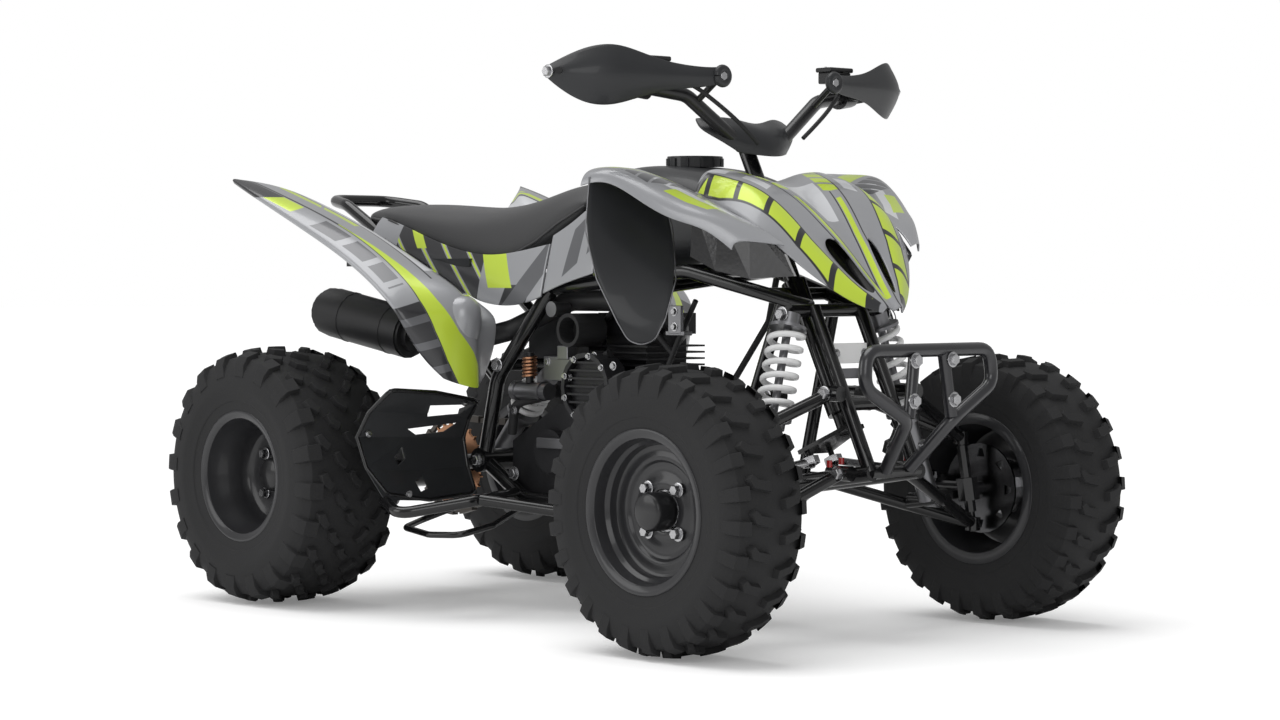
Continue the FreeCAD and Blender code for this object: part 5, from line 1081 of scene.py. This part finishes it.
class QUAD_OT_shocks(bpy.types.Operator):
    """Make the dampers with their coil springs"""
    bl_idname = "quad.shocks"
    bl_label = "Shocks"

    def execute(self, context):
        sizes = context.scene.quad_sizes
        wire = sizes.spring_wire / MM
        for label, places in (("front", [across(SHOCK, side) for side in (1, -1)]), ("rear", [REAR_SHOCK])):
            coils, bars = [], []
            for ends in places:
                low, high, rise = line_of(ends)
                lower, upper = low.lerp(high, 0.48), high.lerp(low, 0.08)
                seats = (lower + rise * wire, upper - rise * wire)
                coils.append((helix(seats, 29, sizes.spring_turns), wire, 0))
                bars += [((low, lower), 19), ((lower, upper), 7.5), ((upper, high), 19),
                         *rings(lower, rise, (-6, 0, 34.5), (-22, -10, 24.5)),
                         *rings(upper, rise, (0, 6, 34.5)), stub(low - rise * 4, (22, 0, 0), 11)]
            pipes(label + "_damper_bodies", bars, "damper_steel", label + "_dampers")
            pipes(label + "_coils", coils, "spring_paint", label + "_springs")
        return {"FINISHED"}


class QUAD_OT_details(bpy.types.Operator):
    """Add bolts, the engine's hoses, barrels, castings and coil, and the breather caps"""
    bl_idname = "quad.details"
    bl_label = "Details"

    def execute(self, context):
        chrome = [(place, (0, 1, 0)) for place in CHROME_SIDES]
        chrome += [(place, (1, 0, 0)) for place in CHROME_FRONTS]
        bolts("chrome_bolts", mirrored(chrome), size=10.2, tall=10)
        studs = []
        for centre, along, upwards in (((95, -130.5, 310), 68, 46), ((70, -156.5, 436), 60, 60)):
            for turn in turns(9):
                aside = Vector((along * math.cos(turn), 0, upwards * math.sin(turn)))
                studs.append((Vector(centre) + aside, (0, -1, 0)))
        bolts("engine_bolts", studs, size=4.8, tall=5)
        pipes("engine_hoses", HOSES, "soft_rubber")
        barrels = [(((-30, 10, 530), (12, 10, 530)), 26), (((-100, -40, 440), (-100, -100, 440)), 30),
                   (((-60, -60, 455), (-60, -120, 455)), 18), (((170, -40, 330), (215, -40, 330)), 22),
                   *rings(Vector((-163, -126, 424)), Vector((1, 0, 0)),
                          (0, 99, 16.5), (0, 12, 19), (75, 83, 19))]
        pipes("engine_barrels", barrels, "damper_steel")
        cap = rings(Vector((-30, -110, 582)), Vector((0, -1, 0)), (0, 32, 12.5), (32, 42, 15))
        pipes("oil_cap", cap, "damper_steel")
        coil = helix(((-119, -128, 450), (-119, -128, 490)), 12.5, 6)
        pipes("coil_turns", [(coil, 2.6, 0)], "sprocket_steel")
        pipes("coil_core", [stub((-119, -128, 469), (0, 0, 29), 8)], "engine_black")
        castings = (((-25, -126, 469), (78, 30, 46)), ((-6, -132, 500), (30, 26, 26)),
                    ((270, -112, 565), (34, 8, 52)), ((270, -104, 540), (50, 22, 8)),
                    ((-50, -128, 326), (80, 18, 20)), ((597, 0, 472), (14, 50, 18)))
        blocks("bare_plate", [((600, 0, 508), (4, 88, 36))], "spring_paint", edge=1.2)
        blocks("castings", castings, "damper_steel", edge=1.8)
        screws = [(place, (0, -1, 0)) for place in SCREWS] + [((602, y, 508), (1, 0, 0)) for y in (36, -36)]
        bolts("bright_screws", screws, size=6.2, tall=5)
        caps = [stub(place, (0, 0, 6), 5.2) for place in ((655, 110, 318), (660, 85, 322))]
        pipes("vent_caps", on_both(caps), "red_lens")
        return {"FINISHED"}


# Camera and stage, in metres

CAMERA = Vector((4.3436, -4.01705, 0.6502))
AIM = Vector((0.0546, 0.0, 0.4846))
WHITE = (1.0, 1.0, 1.0)


def aimed(name, data, place, aim):
    """A light or camera at a place, looking at another."""
    made = linked(name, data)
    made.location = place
    made.rotation_euler = (Vector(aim) - Vector(place)).to_track_quat("-Z", "Y").to_euler()
    return made


def area_light(name, place, size, power):
    light = bpy.data.lights.new(name, "AREA")
    light.size = size
    light.energy = power
    aimed(name, light, place, (0, 0, 0.5))


def pale_floor(size):
    """A near-white floor that the camera sees a little brighter."""
    mesh = bpy.data.meshes.new("floor")
    half = size / 2
    mesh.from_pydata([(-half, -half, 0), (half, -half, 0), (half, half, 0), (-half, half, 0)], [], [range(4)])
    floor = linked("floor", mesh)
    maker = finish("floor", Roughness=0.8, Emission_Strength=0.19)
    maker.surface(Base_Color=maker.mix(maker.noise(1.5), (0.93, 0.93, 0.93), (0.94, 0.94, 0.94)),
                  Emission_Color=maker.add("ShaderNodeLightPath"))
    mesh.materials.append(maker.owner)


def white_world():
    """White behind the quad, and a dimmer white that lights it."""
    world = bpy.data.worlds.new("world")
    bpy.context.scene.world = world
    maker = Maker(world, "Background", Color=WHITE, Strength=0.45)
    seen = maker.add("ShaderNodeBackground", 0, None, {"Color": WHITE, "Strength": 1.0})
    lit = Wire(maker, maker.shader.outputs[0])
    pick = maker.add("ShaderNodeMixShader", 0, None, {0: maker.add("ShaderNodeLightPath"), 1: lit, 2: seen})
    maker.feed(maker.nodes["World Output"].inputs["Surface"], pick)


class QUAD_OT_stage(bpy.types.Operator):
    """Set the camera, the soft lights, the white background and the pale floor"""
    bl_idname = "quad.stage"
    bl_label = "Stage"

    def execute(self, context):
        props = context.scene.quad_stage
        camera = aimed("camera", bpy.data.cameras.new("camera"), CAMERA, AIM)
        camera.data.lens = props.lens
        camera.data.sensor_width = 36.0
        camera.data.clip_end = 200.0
        context.scene.camera = camera
        sun = bpy.data.lights.new("sun", "SUN")
        sun.energy = props.sun_strength
        sun.angle = props.sun_spread
        aimed("sun", sun, (-0.8, -0.6, 4.0), (0, 0, 0))
        area_light("fill", (3.6, -3.4, 2.2), 2.4, props.fill_power)
        area_light("side", (-1.8, -3.6, 1.6), 2.0, props.fill_power * 0.7)
        pale_floor(props.floor_size)
        white_world()
        context.scene.view_settings.view_transform = "Standard"
        return {"FINISHED"}


class QUAD_OT_finishes(bpy.types.Operator):
    """Give every node of the frame the finish of its material slot"""
    bl_idname = "quad.finishes"
    bl_label = "Finishes"

    def execute(self, context):
        for row in frame["record"]["subparts"]:
            node = frame["nodes"][row["node"]]
            node.data.materials.clear()
            node.data.materials.append(finish_of(row["material_slot"]))
        return {"FINISHED"}


class QUAD_PT_panel(bpy.types.Panel):
    """Buttons for the quad bike's pieces"""
    bl_label = "Quad bike"
    bl_idname = "QUAD_PT_panel"
    bl_space_type = "VIEW_3D"
    bl_region_type = "UI"
    bl_category = "Quad"

    def draw(self, context):
        for operator in OPERATORS:
            self.layout.operator(operator.bl_idname)


OPERATORS = (QUAD_OT_finishes, QUAD_OT_wheels, QUAD_OT_tubes, QUAD_OT_bar, QUAD_OT_body, QUAD_OT_seat,
             QUAD_OT_shocks, QUAD_OT_details, QUAD_OT_stage)
GROUPS = {"quad_paint": QuadPaintProps, "quad_sizes": QuadSizeProps, "quad_stage": QuadStageProps}
CLASSES = (*GROUPS.values(), *OPERATORS, QUAD_PT_panel)


def register():
    for kind in CLASSES:
        bpy.utils.register_class(kind)
    for name, group in GROUPS.items():
        setattr(bpy.types.Scene, name, PointerProperty(type=group))


def unregister():
    for name in GROUPS:
        delattr(bpy.types.Scene, name)
    for kind in reversed(CLASSES):
        bpy.utils.unregister_class(kind)


def main():
    register()
    for operator in OPERATORS:
        space, name = operator.bl_idname.split(".")
        getattr(getattr(bpy.ops, space), name)()


if __name__ == "__main__":
    main()
